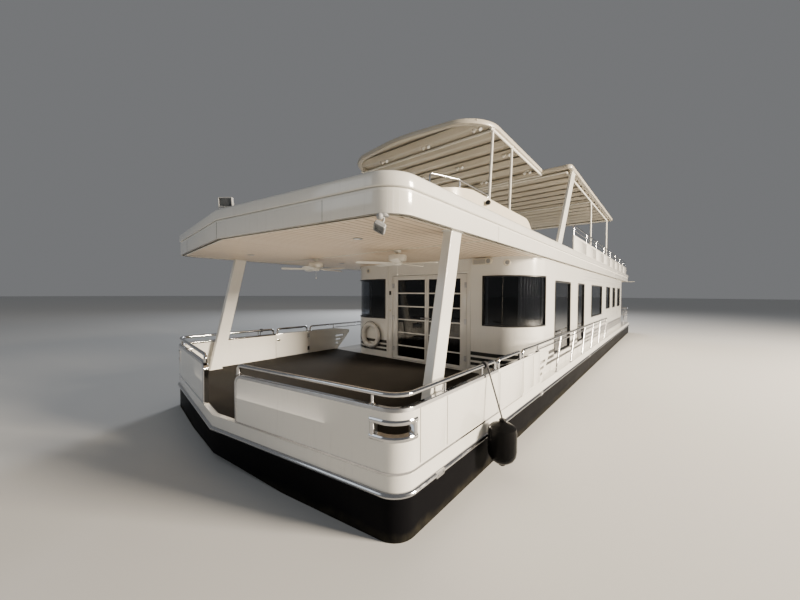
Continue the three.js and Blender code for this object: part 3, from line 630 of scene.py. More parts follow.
    def finish(
        self, name: str, coat: str, body: str = "boat", bevel: float = 0.0,
        segments: int = 2, sharp: float = 35.0, replaces: Sequence[str] = (), slot: str = "",
        outwards: bool = True,
    ) -> bpy.types.Object:
        """Sets the mesh into the frame as a piece that rides on a body.

        Args:
            name: The piece's name.
            coat: Its finish in the locker.
            body: The body that it rides on.
            bevel: The rounding of its sharp edges, 0 for none.
            segments: Steps in that rounding.
            sharp: The angle in degrees from which an edge stays sharp.
            replaces: The CAD nodes that it stands for.
            slot: The record's material slot, where it isn't that finish's own; not used.
            outwards: Whether its faces are turned outwards first.

        Returns:
            The object.
        """
        bm = self.bm
        if outwards:
            bmesh.ops.recalc_face_normals(bm, faces=bm.faces)
        bmesh.ops.translate(bm, vec=Bench.datum, verts=bm.verts)
        mesh = bpy.data.meshes.new(name)
        bm.to_mesh(mesh)
        bm.free()
        mesh.polygons.foreach_set("use_smooth", [True] * len(mesh.polygons))
        mesh.set_sharp_from_angle(angle=math.radians(sharp))
        mesh.materials.append(Bench.locker[coat])
        piece = bpy.data.objects.new(name, mesh)
        bpy.context.scene.collection.objects.link(piece)
        if bevel > 0:
            rounding = piece.modifiers.new("rounding", "BEVEL")
            rounding.width = bevel
            rounding.segments = segments
            rounding.limit_method = "ANGLE"
            rounding.angle_limit = math.radians(sharp)
            rounding.harden_normals = True
            rounding.use_clamp_overlap = True
        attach(piece, body)
        if replaces:
            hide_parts(*replaces)
        slot or Bench.locker.slots[coat]
        LOG.info("%s on %s, %d faces", name, body, len(mesh.polygons))
        return piece

    @classmethod
    def fitted(
        cls, node: str, name: str, coat: str, body: str = "boat", bevel: float = 0.0, segments: int = 2
    ) -> bpy.types.Object:
        """Dresses a CAD node whose shape is right: a copy with rounded edges stands for it.

        Args:
            node: The CAD node.
            name: The piece's name.
            coat: Its finish in the locker.
            body: The body that it rides on.
            bevel: The rounding of its sharp edges.
            segments: Steps in that rounding.

        Returns:
            The object.
        """
        return cls.copied(node).finish(name, coat, body, bevel=bevel, segments=segments, replaces=[node])


class Wiring:
    """Adds nodes to a shader tree, their inputs given by name or by number."""

    def __init__(self, tree: bpy.types.NodeTree) -> None:
        """Works on one tree."""
        self.tree = tree

    def feed(self, socket: bpy.types.NodeSocket, value: object) -> None:
        """Links a socket to another, or sets its value.

        Args:
            socket: The socket.
            value: Another socket, a colour or a number.
        """
        if isinstance(value, bpy.types.NodeSocket):
            self.tree.links.new(value, socket)
        elif isinstance(value, tuple) and len(value) == 3 and socket.type == "RGBA":
            socket.default_value = (*value, 1.0)
        else:
            socket.default_value = value

    def node(
        self, kind: str, inputs: dict[str | int, object] | None = None, **settings: object
    ) -> bpy.types.Node:
        """Adds a node.

        Args:
            kind: The node's type, without its ShaderNode prefix.
            inputs: Values or sockets by input name or number.
            **settings: The node's own properties.

        Returns:
            The node.
        """
        made = self.tree.nodes.new("ShaderNode" + kind)
        for name, value in settings.items():
            setattr(made, name, value)
        for key, value in (inputs or {}).items():
            self.feed(made.inputs[key], value)
        return made

    def sum(self, operation: str, a: object, b: object = 0.0) -> bpy.types.NodeSocket:
        """A math node's result."""
        return self.node("Math", {0: a, 1: b}, operation=operation).outputs[0]

    def span(
        self, value: object, low: float, high: float, to_low: float = 0.0, to_high: float = 1.0
    ) -> bpy.types.NodeSocket:
        """A value carried from one range to another, held at its ends.

        Args:
            value: The value.
            low: Where its range starts.
            high: Where it ends.
            to_low: Where the new range starts.
            to_high: Where that ends.

        Returns:
            The result.
        """
        inputs = {"Value": value, "From Min": low, "From Max": high, "To Min": to_low, "To Max": to_high}
        return self.node("MapRange", inputs).outputs[0]

    def blend(self, share: object, a: object, b: object) -> bpy.types.NodeSocket:
        """Two colours blended."""
        made = self.node("Mix", {0: share, 6: a, 7: b}, data_type="RGBA")
        return made.outputs[2]

    def noise(
        self, vector: object, scale: float, detail: float = 3.0, rough: float = 0.55
    ) -> bpy.types.NodeSocket:
        """The value of a noise texture."""
        inputs = {"Vector": vector, "Scale": scale, "Detail": detail, "Roughness": rough}
        return self.node("TexNoise", inputs).outputs["Fac"]

    def stretched(self, vector: object, by: Colour) -> bpy.types.NodeSocket:
        """Coordinates scaled by a factor along each axis."""
        return self.node("Mapping", {"Vector": vector, "Scale": by}).outputs[0]


class Effect:
    """A shader node group with named inputs and outputs, built once and placed in many coats."""

    def __init__(self, name: str, inputs: dict[str, object], outputs: dict[str, str]) -> None:
        """Opens a group.

        Args:
            name: The group's name.
            inputs: Each input's name with its default: a number, a colour, or None for a vector.
            outputs: Each output's name with its socket type.
        """
        self.group = bpy.data.node_groups.new(name, "ShaderNodeTree")
        for key, value in inputs.items():
            kind = "Vector" if value is None else "Color" if isinstance(value, tuple) else "Float"
            socket = self.group.interface.new_socket(name=key, in_out="INPUT", socket_type="NodeSocket" + kind)
            if kind == "Float":
                socket.default_value = value
            elif kind == "Color":
                socket.default_value = (*value, 1.0)
        for key, kind in outputs.items():
            self.group.interface.new_socket(name=key, in_out="OUTPUT", socket_type="NodeSocket" + kind)
        self.wiring = Wiring(self.group)
        self.given = self.group.nodes.new("NodeGroupInput").outputs
        self.result = self.group.nodes.new("NodeGroupOutput")

    def give(self, **values: bpy.types.NodeSocket) -> "Effect":
        """Links the group's results.

        Args:
            **values: Sockets by the output's name.

        Returns:
            This effect.
        """
        for key, value in values.items():
            self.wiring.feed(self.result.inputs[key], value)
        return self

    def placed(self, wiring: Wiring, **values: object) -> bpy.types.NodeSocket:
        """Places the group in a material with its own values, and returns its outputs.

        Args:
            wiring: The material's wiring.
            **values: Values or sockets by the input's name.

        Returns:
            The group's outputs.
        """
        made = wiring.tree.nodes.new("ShaderNodeGroup")
        made.node_tree = self.group
        for key, value in values.items():
            wiring.feed(made.inputs[key], value)
        return made.outputs


class Effects:
    """The effects that several coats share."""

    def __init__(self) -> None:
        """Builds each effect once."""
        self.patina = self._patina()
        self.streaks = self._streaks()
        self.film = self._film()
        self.smears = self._smears()
        self.stipple = self._stipple()
        self.weave = self._weave()
        self.grain = self._grain()

    @staticmethod
    def _patina() -> Effect:
        """Soft patches where a coat has yellowed or chalked.

        Returns:
            The effect.
        """
        effect = Effect(
            "patina", {"Vector": None, "Colour": (1, 1, 1), "Aged": (1, 1, 1), "Amount": 0.3, "Patch": 1.0},
            {"Colour": "Color"},
        )
        wiring, given = effect.wiring, effect.given
        broad = wiring.node("TexNoise", {"Vector": given["Vector"], "Scale": given["Patch"], "Detail": 4.0})
        share = wiring.span(broad.outputs["Fac"], 0.38, 0.66)
        share = wiring.sum("MULTIPLY", share, given["Amount"])
        return effect.give(Colour=wiring.blend(share, given["Colour"], given["Aged"]))

    @staticmethod
    def _streaks() -> Effect:
        """Thin runs of dirt that rain has drawn down a surface.

        Returns:
            The effect.
        """
        effect = Effect(
            "streaks", {"Vector": None, "Colour": (1, 1, 1), "Dirt": (0.2, 0.18, 0.15), "Amount": 0.2},
            {"Colour": "Color"},
        )
        wiring, given = effect.wiring, effect.given
        runs = wiring.noise(wiring.stretched(given["Vector"], (9.0, 9.0, 0.55)), 2.2, 5.0, 0.6)
        places = wiring.noise(given["Vector"], 0.9, 2.0)
        share = wiring.sum("MULTIPLY", wiring.span(runs, 0.55, 0.8), wiring.span(places, 0.42, 0.62))
        share = wiring.sum("MULTIPLY", share, given["Amount"])
        return effect.give(Colour=wiring.blend(share, given["Colour"], given["Dirt"]))

    @staticmethod
    def _film() -> Effect:
        """The uneven gloss of a moulded or painted coat, with its faint orange peel.

        Returns:
            The effect.
        """
        effect = Effect(
            "film", {"Vector": None, "Roughness": 0.3, "Spread": 0.1, "Peel": 60.0},
            {"Roughness": "Float", "Height": "Float"},
        )
        wiring, given = effect.wiring, effect.given
        broad = wiring.noise(given["Vector"], 3.5, 4.0)
        shift = wiring.sum("MULTIPLY", wiring.sum("SUBTRACT", broad, 0.5), given["Spread"])
        peel = wiring.node("TexNoise", {"Vector": given["Vector"], "Scale": given["Peel"], "Detail": 2.0})
        wave = wiring.noise(given["Vector"], 2.0, 1.0)
        height = wiring.sum("ADD", wiring.sum("MULTIPLY", peel.outputs["Fac"], 0.08), wave)
        return effect.give(Roughness=wiring.sum("ADD", given["Roughness"], shift), Height=height)

    @staticmethod
    def _smears() -> Effect:
        """Handling marks and fine rubbing lines on bare metal.

        Returns:
            The effect.
        """
        effect = Effect(
            "smears", {"Vector": None, "Roughness": 0.15, "Spread": 0.15},
            {"Roughness": "Float", "Height": "Float", "Mask": "Float"},
        )
        wiring, given = effect.wiring, effect.given
        marks = wiring.noise(given["Vector"], 7.0, 5.0, 0.65)
        lines = wiring.noise(wiring.stretched(given["Vector"], (3.0, 3.0, 240.0)), 6.0, 2.0)
        share = wiring.span(marks, 0.4, 0.75)
        rough = wiring.sum("ADD", given["Roughness"], wiring.sum("MULTIPLY", share, given["Spread"]))
        return effect.give(Roughness=rough, Height=lines, Mask=share)

    @staticmethod
    def _stipple() -> Effect:
        """The raised dots of a moulded tread.

        Returns:
            The effect.
        """
        effect = Effect("stipple", {"Vector": None, "Pitch": 60.0}, {"Height": "Float"})
        wiring, given = effect.wiring, effect.given
        cells = wiring.node("TexVoronoi", {"Vector": given["Vector"], "Scale": given["Pitch"], "Randomness": 0.35})
        dots = wiring.span(cells.outputs["Distance"], 0.18, 0.5, 1.0, 0.0)
        return effect.give(Height=dots)

    @staticmethod
    def _weave() -> Effect:
        """Crossed threads, seen on cloth and braid.

        Returns:
            The effect.
        """
        effect = Effect("weave", {"Vector": None, "Threads": 400.0}, {"Height": "Float"})
        wiring, given = effect.wiring, effect.given
        waves = []
        for axis in ("X", "Z"):
            inputs = {"Vector": given["Vector"], "Scale": given["Threads"], "Distortion": 0.4}
            waves.append(wiring.node("TexWave", inputs, bands_direction=axis).outputs["Fac"])
        height = wiring.sum("MULTIPLY", *waves)
        return effect.give(Height=height)

    @staticmethod
    def _grain() -> Effect:
        """The pebbled skin of coated cloth and moulded rubber.

        Returns:
            The effect.
        """
        effect = Effect("grain", {"Vector": None, "Scale": 300.0}, {"Height": "Float"})
        wiring, given = effect.wiring, effect.given
        cells = wiring.node("TexVoronoi", {"Vector": given["Vector"], "Scale": given["Scale"]})
        pebble = wiring.span(cells.outputs["Distance"], 0.0, 0.6)
        return effect.give(Height=pebble)


@dataclass(frozen=True)
class Finish:
    """What every coat has: its name, its main colour and how rough it is."""

    name: str
    colour: Colour
    roughness: float = 0.4

    def opened(self) -> tuple[bpy.types.Material, Wiring, bpy.types.Node, bpy.types.NodeSocket]:
        """Starts the material: returns it with its wiring, its shader and the Object coordinates.

        Returns:
            The material, its wiring, its shader and the Object coordinates.
        """
        material = bpy.data.materials.new(self.name)
        material.use_nodes = True
        wiring = Wiring(material.node_tree)
        shader = material.node_tree.nodes["Principled BSDF"]
        place = wiring.node("TexCoord").outputs["Object"]
        wiring.feed(shader.inputs["Base Color"], self.colour)
        shader.inputs["Roughness"].default_value = self.roughness
        return material, wiring, shader, place

    @staticmethod
    def bump(
        wiring: Wiring, shader: bpy.types.Node, height: bpy.types.NodeSocket, strength: float, depth: float
    ) -> None:
        """Feeds the shader's normal from a height.

        Args:
            wiring: The material's wiring.
            shader: Its shader.
            height: The height, 0 to 1.
            strength: How strongly it shows.
            depth: How deep it is, in metres.
        """
        inputs = {"Height": height, "Strength": strength, "Distance": depth}
        wiring.feed(shader.inputs["Normal"], wiring.node("Bump", inputs).outputs[0])


@dataclass(frozen=True)
class Coat(Finish):
    """Moulded gelcoat, paint or plastic: aged in patches, with dirt runs and an uneven gloss."""

    aged: Colour = (0.7, 0.68, 0.6)
    ageing: float = 0.25
    dirt: Colour = (0.25, 0.22, 0.18)
    runs: float = 0.15
    spread: float = 0.12
    peel: float = 60.0
    varnish: float = 0.0
    metal: float = 0.0
    wave: float = 0.0015
    shine: float = 0.5

    def made(self, effects: Effects) -> bpy.types.Material:
        """Builds the material.

        Args:
            effects: The effects that coats share.

        Returns:
            The material.
        """
        material, wiring, shader, place = self.opened()
        tone = effects.patina.placed(
            wiring, Vector=place, Colour=self.colour, Aged=self.aged, Amount=self.ageing, Patch=0.8
        )["Colour"]
        tone = effects.streaks.placed(wiring, Vector=place, Colour=tone, Dirt=self.dirt, Amount=self.runs)["Colour"]
        film = effects.film.placed(
            wiring, Vector=place, Roughness=self.roughness, Spread=self.spread, Peel=self.peel
        )
        wiring.feed(shader.inputs["Base Color"], tone)
        wiring.feed(shader.inputs["Roughness"], film["Roughness"])
        shader.inputs["Coat Weight"].default_value = self.varnish
        shader.inputs["Coat Roughness"].default_value = 0.08
        shader.inputs["Metallic"].default_value = self.metal
        shader.inputs["Specular IOR Level"].default_value = self.shine
        self.bump(wiring, shader, film["Height"], 0.25, self.wave)
        return material


@dataclass(frozen=True)
class Steel(Finish):
    """Bare metal with handling marks and fine rubbing lines."""

    spread: float = 0.16
    lines: float = 0.1

    def made(self, effects: Effects) -> bpy.types.Material:
        """Builds the material.

        Args:
            effects: The effects that coats share.

        Returns:
            The material.
        """
        material, wiring, shader, place = self.opened()
        marks = effects.smears.placed(wiring, Vector=place, Roughness=self.roughness, Spread=self.spread)
        dull = tuple(0.8 * c for c in self.colour)
        wiring.feed(shader.inputs["Base Color"], wiring.blend(marks["Mask"], self.colour, dull))
        wiring.feed(shader.inputs["Roughness"], marks["Roughness"])
        shader.inputs["Metallic"].default_value = 1.0
        self.bump(wiring, shader, marks["Height"], self.lines, 0.0004)
        return material


@dataclass(frozen=True)
class Glass(Finish):
    """Tinted glass with a faint film of dust."""

    gloss: float = 0.15

    def made(self, effects: Effects) -> bpy.types.Material:
        """Builds the material.

        Args:
            effects: The effects that coats share.

        Returns:
            The material.
        """
        material, wiring, shader, place = self.opened()
        film = effects.smears.placed(wiring, Vector=place, Roughness=self.roughness, Spread=0.04)
        wiring.feed(shader.inputs["Roughness"], film["Roughness"])
        shader.inputs["Transmission Weight"].default_value = 1.0
        shader.inputs["IOR"].default_value = 1.45
        shader.inputs["Specular IOR Level"].default_value = self.gloss
        return material


@dataclass(frozen=True)
class Boards(Finish):
    """Narrow ceiling boards, each a little off the others' tone, with painted shade along their grooves."""

    pitch: float = 0.0985
    edge: float = ROOF_LINE.half - 0.075
    aged: Colour = (0.72, 0.58, 0.43)
    groove: Colour = (0.20, 0.15, 0.10)

    def made(self, effects: Effects) -> bpy.types.Material:
        """Builds the material.

        Args:
            effects: The effects that coats share.

        Returns:
            The material.
        """
        material, wiring, shader, place = self.opened()
        across = wiring.node("SeparateXYZ", {0: place}).outputs[0]
        steps = wiring.sum("DIVIDE", wiring.sum("ADD", across, self.edge), self.pitch)
        board = wiring.sum("FLOOR", steps)
        pick = wiring.node("TexWhiteNoise", {"W": board}, noise_dimensions="1D").outputs["Value"]
        tone = wiring.blend(wiring.sum("MULTIPLY", pick, 0.6), self.colour, self.aged)
        tone = effects.patina.placed(
            wiring, Vector=place, Colour=tone, Aged=self.aged, Amount=0.25, Patch=1.4
        )["Colour"]
        off = wiring.sum("ABSOLUTE", wiring.sum("SUBTRACT", wiring.sum("FRACT", steps), 0.5))
        # Each board's edges and sides fade to the groove colour: painted shade in the grooves.
        tone = wiring.blend(wiring.span(off, 0.36, 0.47, 0.0, 0.85), tone, self.groove)
        fibre = wiring.noise(wiring.stretched(place, (60.0, 1.2, 60.0)), 3.0, 4.0)
        rough = wiring.span(fibre, 0.3, 0.7, self.roughness - 0.06, self.roughness + 0.08)
        wiring.feed(shader.inputs["Base Color"], tone)
        wiring.feed(shader.inputs["Roughness"], rough)
        self.bump(wiring, shader, fibre, 0.15, 0.0006)
        return material


@dataclass(frozen=True)
class Carpet(Finish):
    """Looped marine carpet, flattened and faded where people walk."""

    faded: Colour = (0.040, 0.036, 0.031)

    def made(self, effects: Effects) -> bpy.types.Material:
        """Builds the material.

        Args:
            effects: The effects that coats share.

        Returns:
            The material.
        """
        material, wiring, shader, place = self.opened()
        loops = effects.stipple.placed(wiring, Vector=place, Pitch=170.0)
        flecks = wiring.noise(place, 90.0, 2.0)
        tone = wiring.blend(wiring.span(flecks, 0.35, 0.7), self.colour, self.faded)
        tone = effects.patina.placed(
            wiring, Vector=place, Colour=tone, Aged=self.faded, Amount=0.6, Patch=0.9
        )["Colour"]
        wiring.feed(shader.inputs["Base Color"], tone)
        shader.inputs["Specular IOR Level"].default_value = 0.1
        self.bump(wiring, shader, loops["Height"], 0.8, 0.004)
        return material


@dataclass(frozen=True)
class Tread(Finish):
    """Gelcoat with a moulded tread on what faces up, greyed by shoes."""

    walked: Colour = (0.5, 0.49, 0.46)
    pitch: float = 55.0

    def made(self, effects: Effects) -> bpy.types.Material:
        """Builds the material.

        Args:
            effects: The effects that coats share.

        Returns:
            The material.
        """
        material, wiring, shader, place = self.opened()
        up = wiring.node("SeparateXYZ", {0: wiring.node("NewGeometry").outputs["Normal"]}).outputs[2]
        level = wiring.span(up, 0.9, 0.98)
        dots = effects.stipple.placed(wiring, Vector=place, Pitch=self.pitch)
        worn = wiring.span(wiring.noise(place, 1.1, 5.0), 0.35, 0.7, 0.15, 0.8)
        tone = wiring.blend(wiring.sum("MULTIPLY", level, worn), self.colour, self.walked)
        tone = effects.streaks.placed(wiring, Vector=place, Colour=tone, Dirt=self.walked, Amount=0.3)["Colour"]
        wiring.feed(shader.inputs["Base Color"], tone)
        wiring.feed(shader.inputs["Roughness"], wiring.span(level, 0.0, 1.0, self.roughness, 0.6))
        self.bump(wiring, shader, wiring.sum("MULTIPLY", dots["Height"], level), 0.6, 0.0025)
        return material


@dataclass(frozen=True)
class Cloth(Finish):
    """Woven or coated cloth."""

    threads: float = 500.0
    shade: Colour = (0.3, 0.3, 0.3)
    skin: bool = False

    def made(self, effects: Effects) -> bpy.types.Material:
        """Builds the material.

        Args:
            effects: The effects that coats share.

        Returns:
            The material.
        """
        material, wiring, shader, place = self.opened()
        effect = effects.grain if self.skin else effects.weave
        values = {"Scale": self.threads} if self.skin else {"Threads": self.threads}
        relief = effect.placed(wiring, Vector=place, **values)["Height"]
        tone = effects.patina.placed(
            wiring, Vector=place, Colour=self.colour, Aged=self.shade, Amount=0.4, Patch=3.0
        )["Colour"]
        wiring.feed(shader.inputs["Base Color"], tone)
        shader.inputs["Sheen Weight"].default_value = 0.15
        self.bump(wiring, shader, relief, 0.35, 0.0008)
        return material


@dataclass(frozen=True)
class Bottom(Finish):
    """The black hull: dull, with a paler scum line where the water stands."""

    scum: Colour = (0.026, 0.024, 0.018)

    def made(self, effects: Effects) -> bpy.types.Material:
        """Builds the material.

        Args:
            effects: The effects that coats share.

        Returns:
            The material.
        """
        material, wiring, shader, place = self.opened()
        height = wiring.node("SeparateXYZ", {0: place}).outputs[2]
        water = Bench.datum.z + WATER
        ragged = wiring.span(wiring.noise(place, 2.4, 6.0), 0.3, 0.7, -0.05, 0.05)
        level = wiring.sum("ADD", height, ragged)
        above = wiring.span(level, water + 0.02, water + 0.10, 1.0, 0.0)
        fade = wiring.sum("MULTIPLY", above, wiring.span(wiring.noise(place, 14.0, 5.0), 0.35, 0.7, 0.3, 1.0))
        tone = wiring.blend(fade, self.colour, self.scum)
        tone = effects.streaks.placed(
            wiring, Vector=place, Colour=tone, Dirt=(0.014, 0.013, 0.011), Amount=0.5
        )["Colour"]
        film = effects.film.placed(wiring, Vector=place, Roughness=self.roughness, Spread=0.15, Peel=40.0)
        rough = wiring.sum("ADD", film["Roughness"], wiring.sum("MULTIPLY", fade, 0.35))
        wiring.feed(shader.inputs["Base Color"], tone)
        wiring.feed(shader.inputs["Roughness"], rough)
        shader.inputs["Specular IOR Level"].default_value = 0.02
        self.bump(wiring, shader, film["Height"], 0.3, 0.002)
        return material


@dataclass(frozen=True)
class Lamp(Finish):
    """A frosted lens, faintly lit from within."""

    glow: float = 0.15

    def made(self, effects: Effects) -> bpy.types.Material:
        """Builds the material.

        Args:
            effects: The effects that coats share.

        Returns:
            The material.
        """
        material, wiring, shader, place = self.opened()
        dots = effects.stipple.placed(wiring, Vector=place, Pitch=240.0)
        shader.inputs["Emission Color"].default_value = (*self.colour, 1.0)
        shader.inputs["Emission Strength"].default_value = self.glow
        self.bump(wiring, shader, dots["Height"], 0.3, 0.0008)
        return material


# The finishes that each of the record's material slots stands for.
SLOTS = {
    "gelcoat": "gelcoat plastic sealant tread field",
    "black_hull": "bottom",
    "steel": "steel brushed mirror bronze",
    "rail_panel": "grey lining",
    "cream": "cream boards top",
    "tinted_glass": "glass smoked clear black",
    "engine_paint": "engine",
    "drive_paint": "drive",
    "vinyl": "vinyl curtain",
    "wheel_rim": "grip",
    "ring_foam": "foam lens",
    "fender_rubber": "rubber rope carpet",
}


class Locker:
    """The paint locker: every finish of the boat, made once."""

    def __init__(self) -> None:
        """Makes the finishes."""
        effects = Effects()
        white = (0.80, 0.79, 0.75)
        finishes = {
            "gelcoat": Coat("gelcoat", white, 0.17, varnish=0.6),
            "cream": Coat("cream_gelcoat", (0.74, 0.69, 0.58), 0.3, (0.6, 0.54, 0.42), 0.4, varnish=0.3),
            "plastic": Coat("white_plastic", (0.78, 0.76, 0.70), 0.42, runs=0.05, wave=0.0004),
            "black": Coat("black_trim", (0.012, 0.012, 0.013), 0.3, (0.03, 0.03, 0.03), runs=0.05, wave=0.0004),
            "grey": Coat("grey_trim", (0.30, 0.31, 0.32), 0.4, (0.36, 0.36, 0.36), wave=0.0004),
            "rubber": Coat("black_rubber", (0.004, 0.004, 0.0045), 0.20, (0.010, 0.010, 0.010), 0.5,
                           (0.010, 0.010, 0.009), spread=0.1, shine=0.06),
            "sealant": Coat("sealant", (0.022, 0.021, 0.020), 0.7, (0.05, 0.045, 0.04), wave=0.0003),
            "engine": Coat("engine_paint", (0.22, 0.23, 0.24), 0.5, (0.12, 0.1, 0.08), 0.6, metal=0.2),
            "drive": Coat("drive_paint", (0.03, 0.03, 0.033), 0.35, (0.1, 0.1, 0.09), 0.4),
            "foam": Coat("ring_coat", (0.82, 0.81, 0.77), 0.45, runs=0.1, wave=0.0008),
            "steel": Steel("polished_steel", (0.60, 0.60, 0.61), 0.13),
            "brushed": Steel("brushed_steel", (0.58, 0.58, 0.59), 0.3, 0.2, 0.4),
            "mirror": Steel("mirror_steel", (0.62, 0.62, 0.63), 0.06, 0.06),
            "bronze": Steel("propeller_bronze", (0.55, 0.48, 0.36), 0.3, 0.25, 0.3),
            "glass": Glass("tinted_glass", (0.19, 0.20, 0.22), 0.03),
            "smoked": Glass("smoked_glass", (0.33, 0.35, 0.38), 0.02),
            "clear": Glass("lens_glass", (0.85, 0.87, 0.88), 0.04, gloss=0.5),
            # The lining's near-black colour is painted shade: it darkens the cabin's inside and the backing behind
            # the ceiling boards.
            "lining": Coat("dark_lining", (0.035, 0.028, 0.022), 0.6, (0.05, 0.04, 0.03), runs=0.0, wave=0.0003),
            "boards": Boards("ceiling_boards", (0.82, 0.69, 0.54), 0.38),
            # The tops' darker cream is painted shade: the colour is lowered to stand for the shade under the tops.
            "top": Coat("top_gelcoat", (0.50, 0.46, 0.385), 0.36, (0.42, 0.37, 0.29), 0.4, varnish=0.2),
            # The deck carpet's near-black colour is a dark carpet darkened further as painted shade.
            "carpet": Carpet("deck_carpet", (0.019, 0.017, 0.015), 0.95),
            "tread": Tread("moulded_tread", white, 0.3),
            "field": Tread("tread_field", (0.60, 0.585, 0.545), 0.5, (0.46, 0.445, 0.41), 48.0),
            "curtain": Cloth("curtain_cloth", (0.36, 0.36, 0.37), 0.9, shade=(0.2, 0.2, 0.22)),
            "vinyl": Cloth("white_vinyl", (0.74, 0.72, 0.66), 0.42, 420.0, (0.6, 0.57, 0.5), skin=True),
            "rope": Cloth("black_braid", (0.03, 0.03, 0.035), 0.8, 700.0, (0.09, 0.09, 0.1)),
            "grip": Cloth("wheel_grip", (0.03, 0.03, 0.03), 0.5, 500.0, (0.06, 0.06, 0.06), skin=True),
            "bottom": Bottom("bottom_paint", (0.005, 0.005, 0.006), 0.42),
            "lens": Lamp("frosted_lens", (0.85, 0.84, 0.8), 0.35),
        }
        self.made = {key: finish.made(effects) for key, finish in finishes.items()}
        self.slots = {key: slot for slot, keys in SLOTS.items() for key in keys.split()}

    def __getitem__(self, key: str) -> bpy.types.Material:
        """The finish kept under a key."""
        return self.made[key]


@dataclass
class Studio:
    """The floor at the waterline, the soft lights, and the camera at the photograph's angle."""

    eye: Corner = (4.40, -1.59, 1.54)
    yaw: float = -39.64
    pitch: float = -1.2
    roll: float = 0.25
    focal: float = 323.7
    picture: float = 800.0
    film: float = 36.0

    def build(self) -> None:
        """Sets up the camera, the floor, the lights and the pale surroundings."""
        self._camera()
        self._floor()
        self._light("key", (22.0, 10.5, 7.0), (1.5, 5.0, 1.0), 5.0, 19000.0, (1.0, 0.86, 0.68))
        self._light("fill", (-6.0, -14.0, 7.0), (0.0, 3.0, 1.2), 8.0, 260.0, (0.84, 0.92, 1.0))
        self._light("back", (-17.0, 30.0, 13.0), (0.0, 12.0, 1.5), 9.0, 5200.0, (0.92, 0.95, 1.0))
        bounce = self._light("bounce", (0.4, 1.5, 0.30), (0.4, 1.5, 2.0), 3.0, 30.0, (1.0, 0.88, 0.74))
        bounce.visible_camera = False
        bounce.visible_glossy = False
        world = bpy.data.worlds.new("surroundings")
        world.use_nodes = True
        back = world.node_tree.nodes["Background"]
        back.inputs["Color"].default_value = (0.90, 0.92, 0.95, 1.0)
        back.inputs["Strength"].default_value = 0.20
        bpy.context.scene.world = world

    def _camera(self) -> None:
        """Puts the camera where the photograph was taken from."""
        yaw, pitch, roll = (math.radians(a) for a in (self.yaw, self.pitch, self.roll))
        ahead = Vector((math.sin(yaw) * math.cos(pitch), math.cos(yaw) * math.cos(pitch), math.sin(pitch)))
        level = Vector((math.cos(yaw), -math.sin(yaw), 0.0))
        upright = level.cross(ahead)
        right = level * math.cos(roll) + upright * math.sin(roll)
        up = upright * math.cos(roll) - level * math.sin(roll)
        data = bpy.data.cameras.new("camera")
        data.sensor_width = self.film
        data.lens = self.focal * self.film / self.picture
        data.clip_end = 500.0
        camera = bpy.data.objects.new("camera", data)
        turn = Matrix((right, up, -ahead)).transposed().to_4x4()
        camera.matrix_world = Matrix.Translation(Bench.datum + Vector(self.eye)) @ turn
        bpy.context.scene.collection.objects.link(camera)
        bpy.context.scene.camera = camera

    @staticmethod
    def _floor() -> None:
        """Lays the pale floor at the waterline."""
        bm = bmesh.new()
        place = Matrix.Translation((0.0, 0.0, Bench.datum.z + WATER))
        bmesh.ops.create_circle(bm, cap_ends=True, radius=220.0, segments=96, matrix=place)
        mesh = bpy.data.meshes.new("floor")
        bm.to_mesh(mesh)
        bm.free()
        material = bpy.data.materials.new("pale_floor")
        material.use_nodes = True
        shader = material.node_tree.nodes["Principled BSDF"]
        shader.inputs["Base Color"].default_value = (0.62, 0.62, 0.61, 1.0)
        shader.inputs["Roughness"].default_value = 0.9
        mesh.materials.append(material)
        floor = bpy.data.objects.new("floor", mesh)
        bpy.context.scene.collection.objects.link(floor)

    @staticmethod
    def _light(
        name: str, at: Corner, towards: Corner, size: float, power: float, colour: Colour
    ) -> bpy.types.Object:
        """Hangs a square soft light.

        Args:
            name: Its name.
            at: Where it hangs.
            towards: What it faces.
            size: Its width.
            power: Its power in watts.
            colour: Its colour.

        Returns:
            The lamp.
        """
        data = bpy.data.lights.new(name, "AREA")
        data.size = size
        data.energy = power
        data.color = colour
        lamp = bpy.data.objects.new(name, data)
        facing = (Vector(towards) - Vector(at)).to_track_quat("-Z", "Y").to_matrix().to_4x4()
        lamp.matrix_world = Matrix.Translation(Bench.datum + Vector(at)) @ facing
        bpy.context.scene.collection.objects.link(lamp)
        return lamp


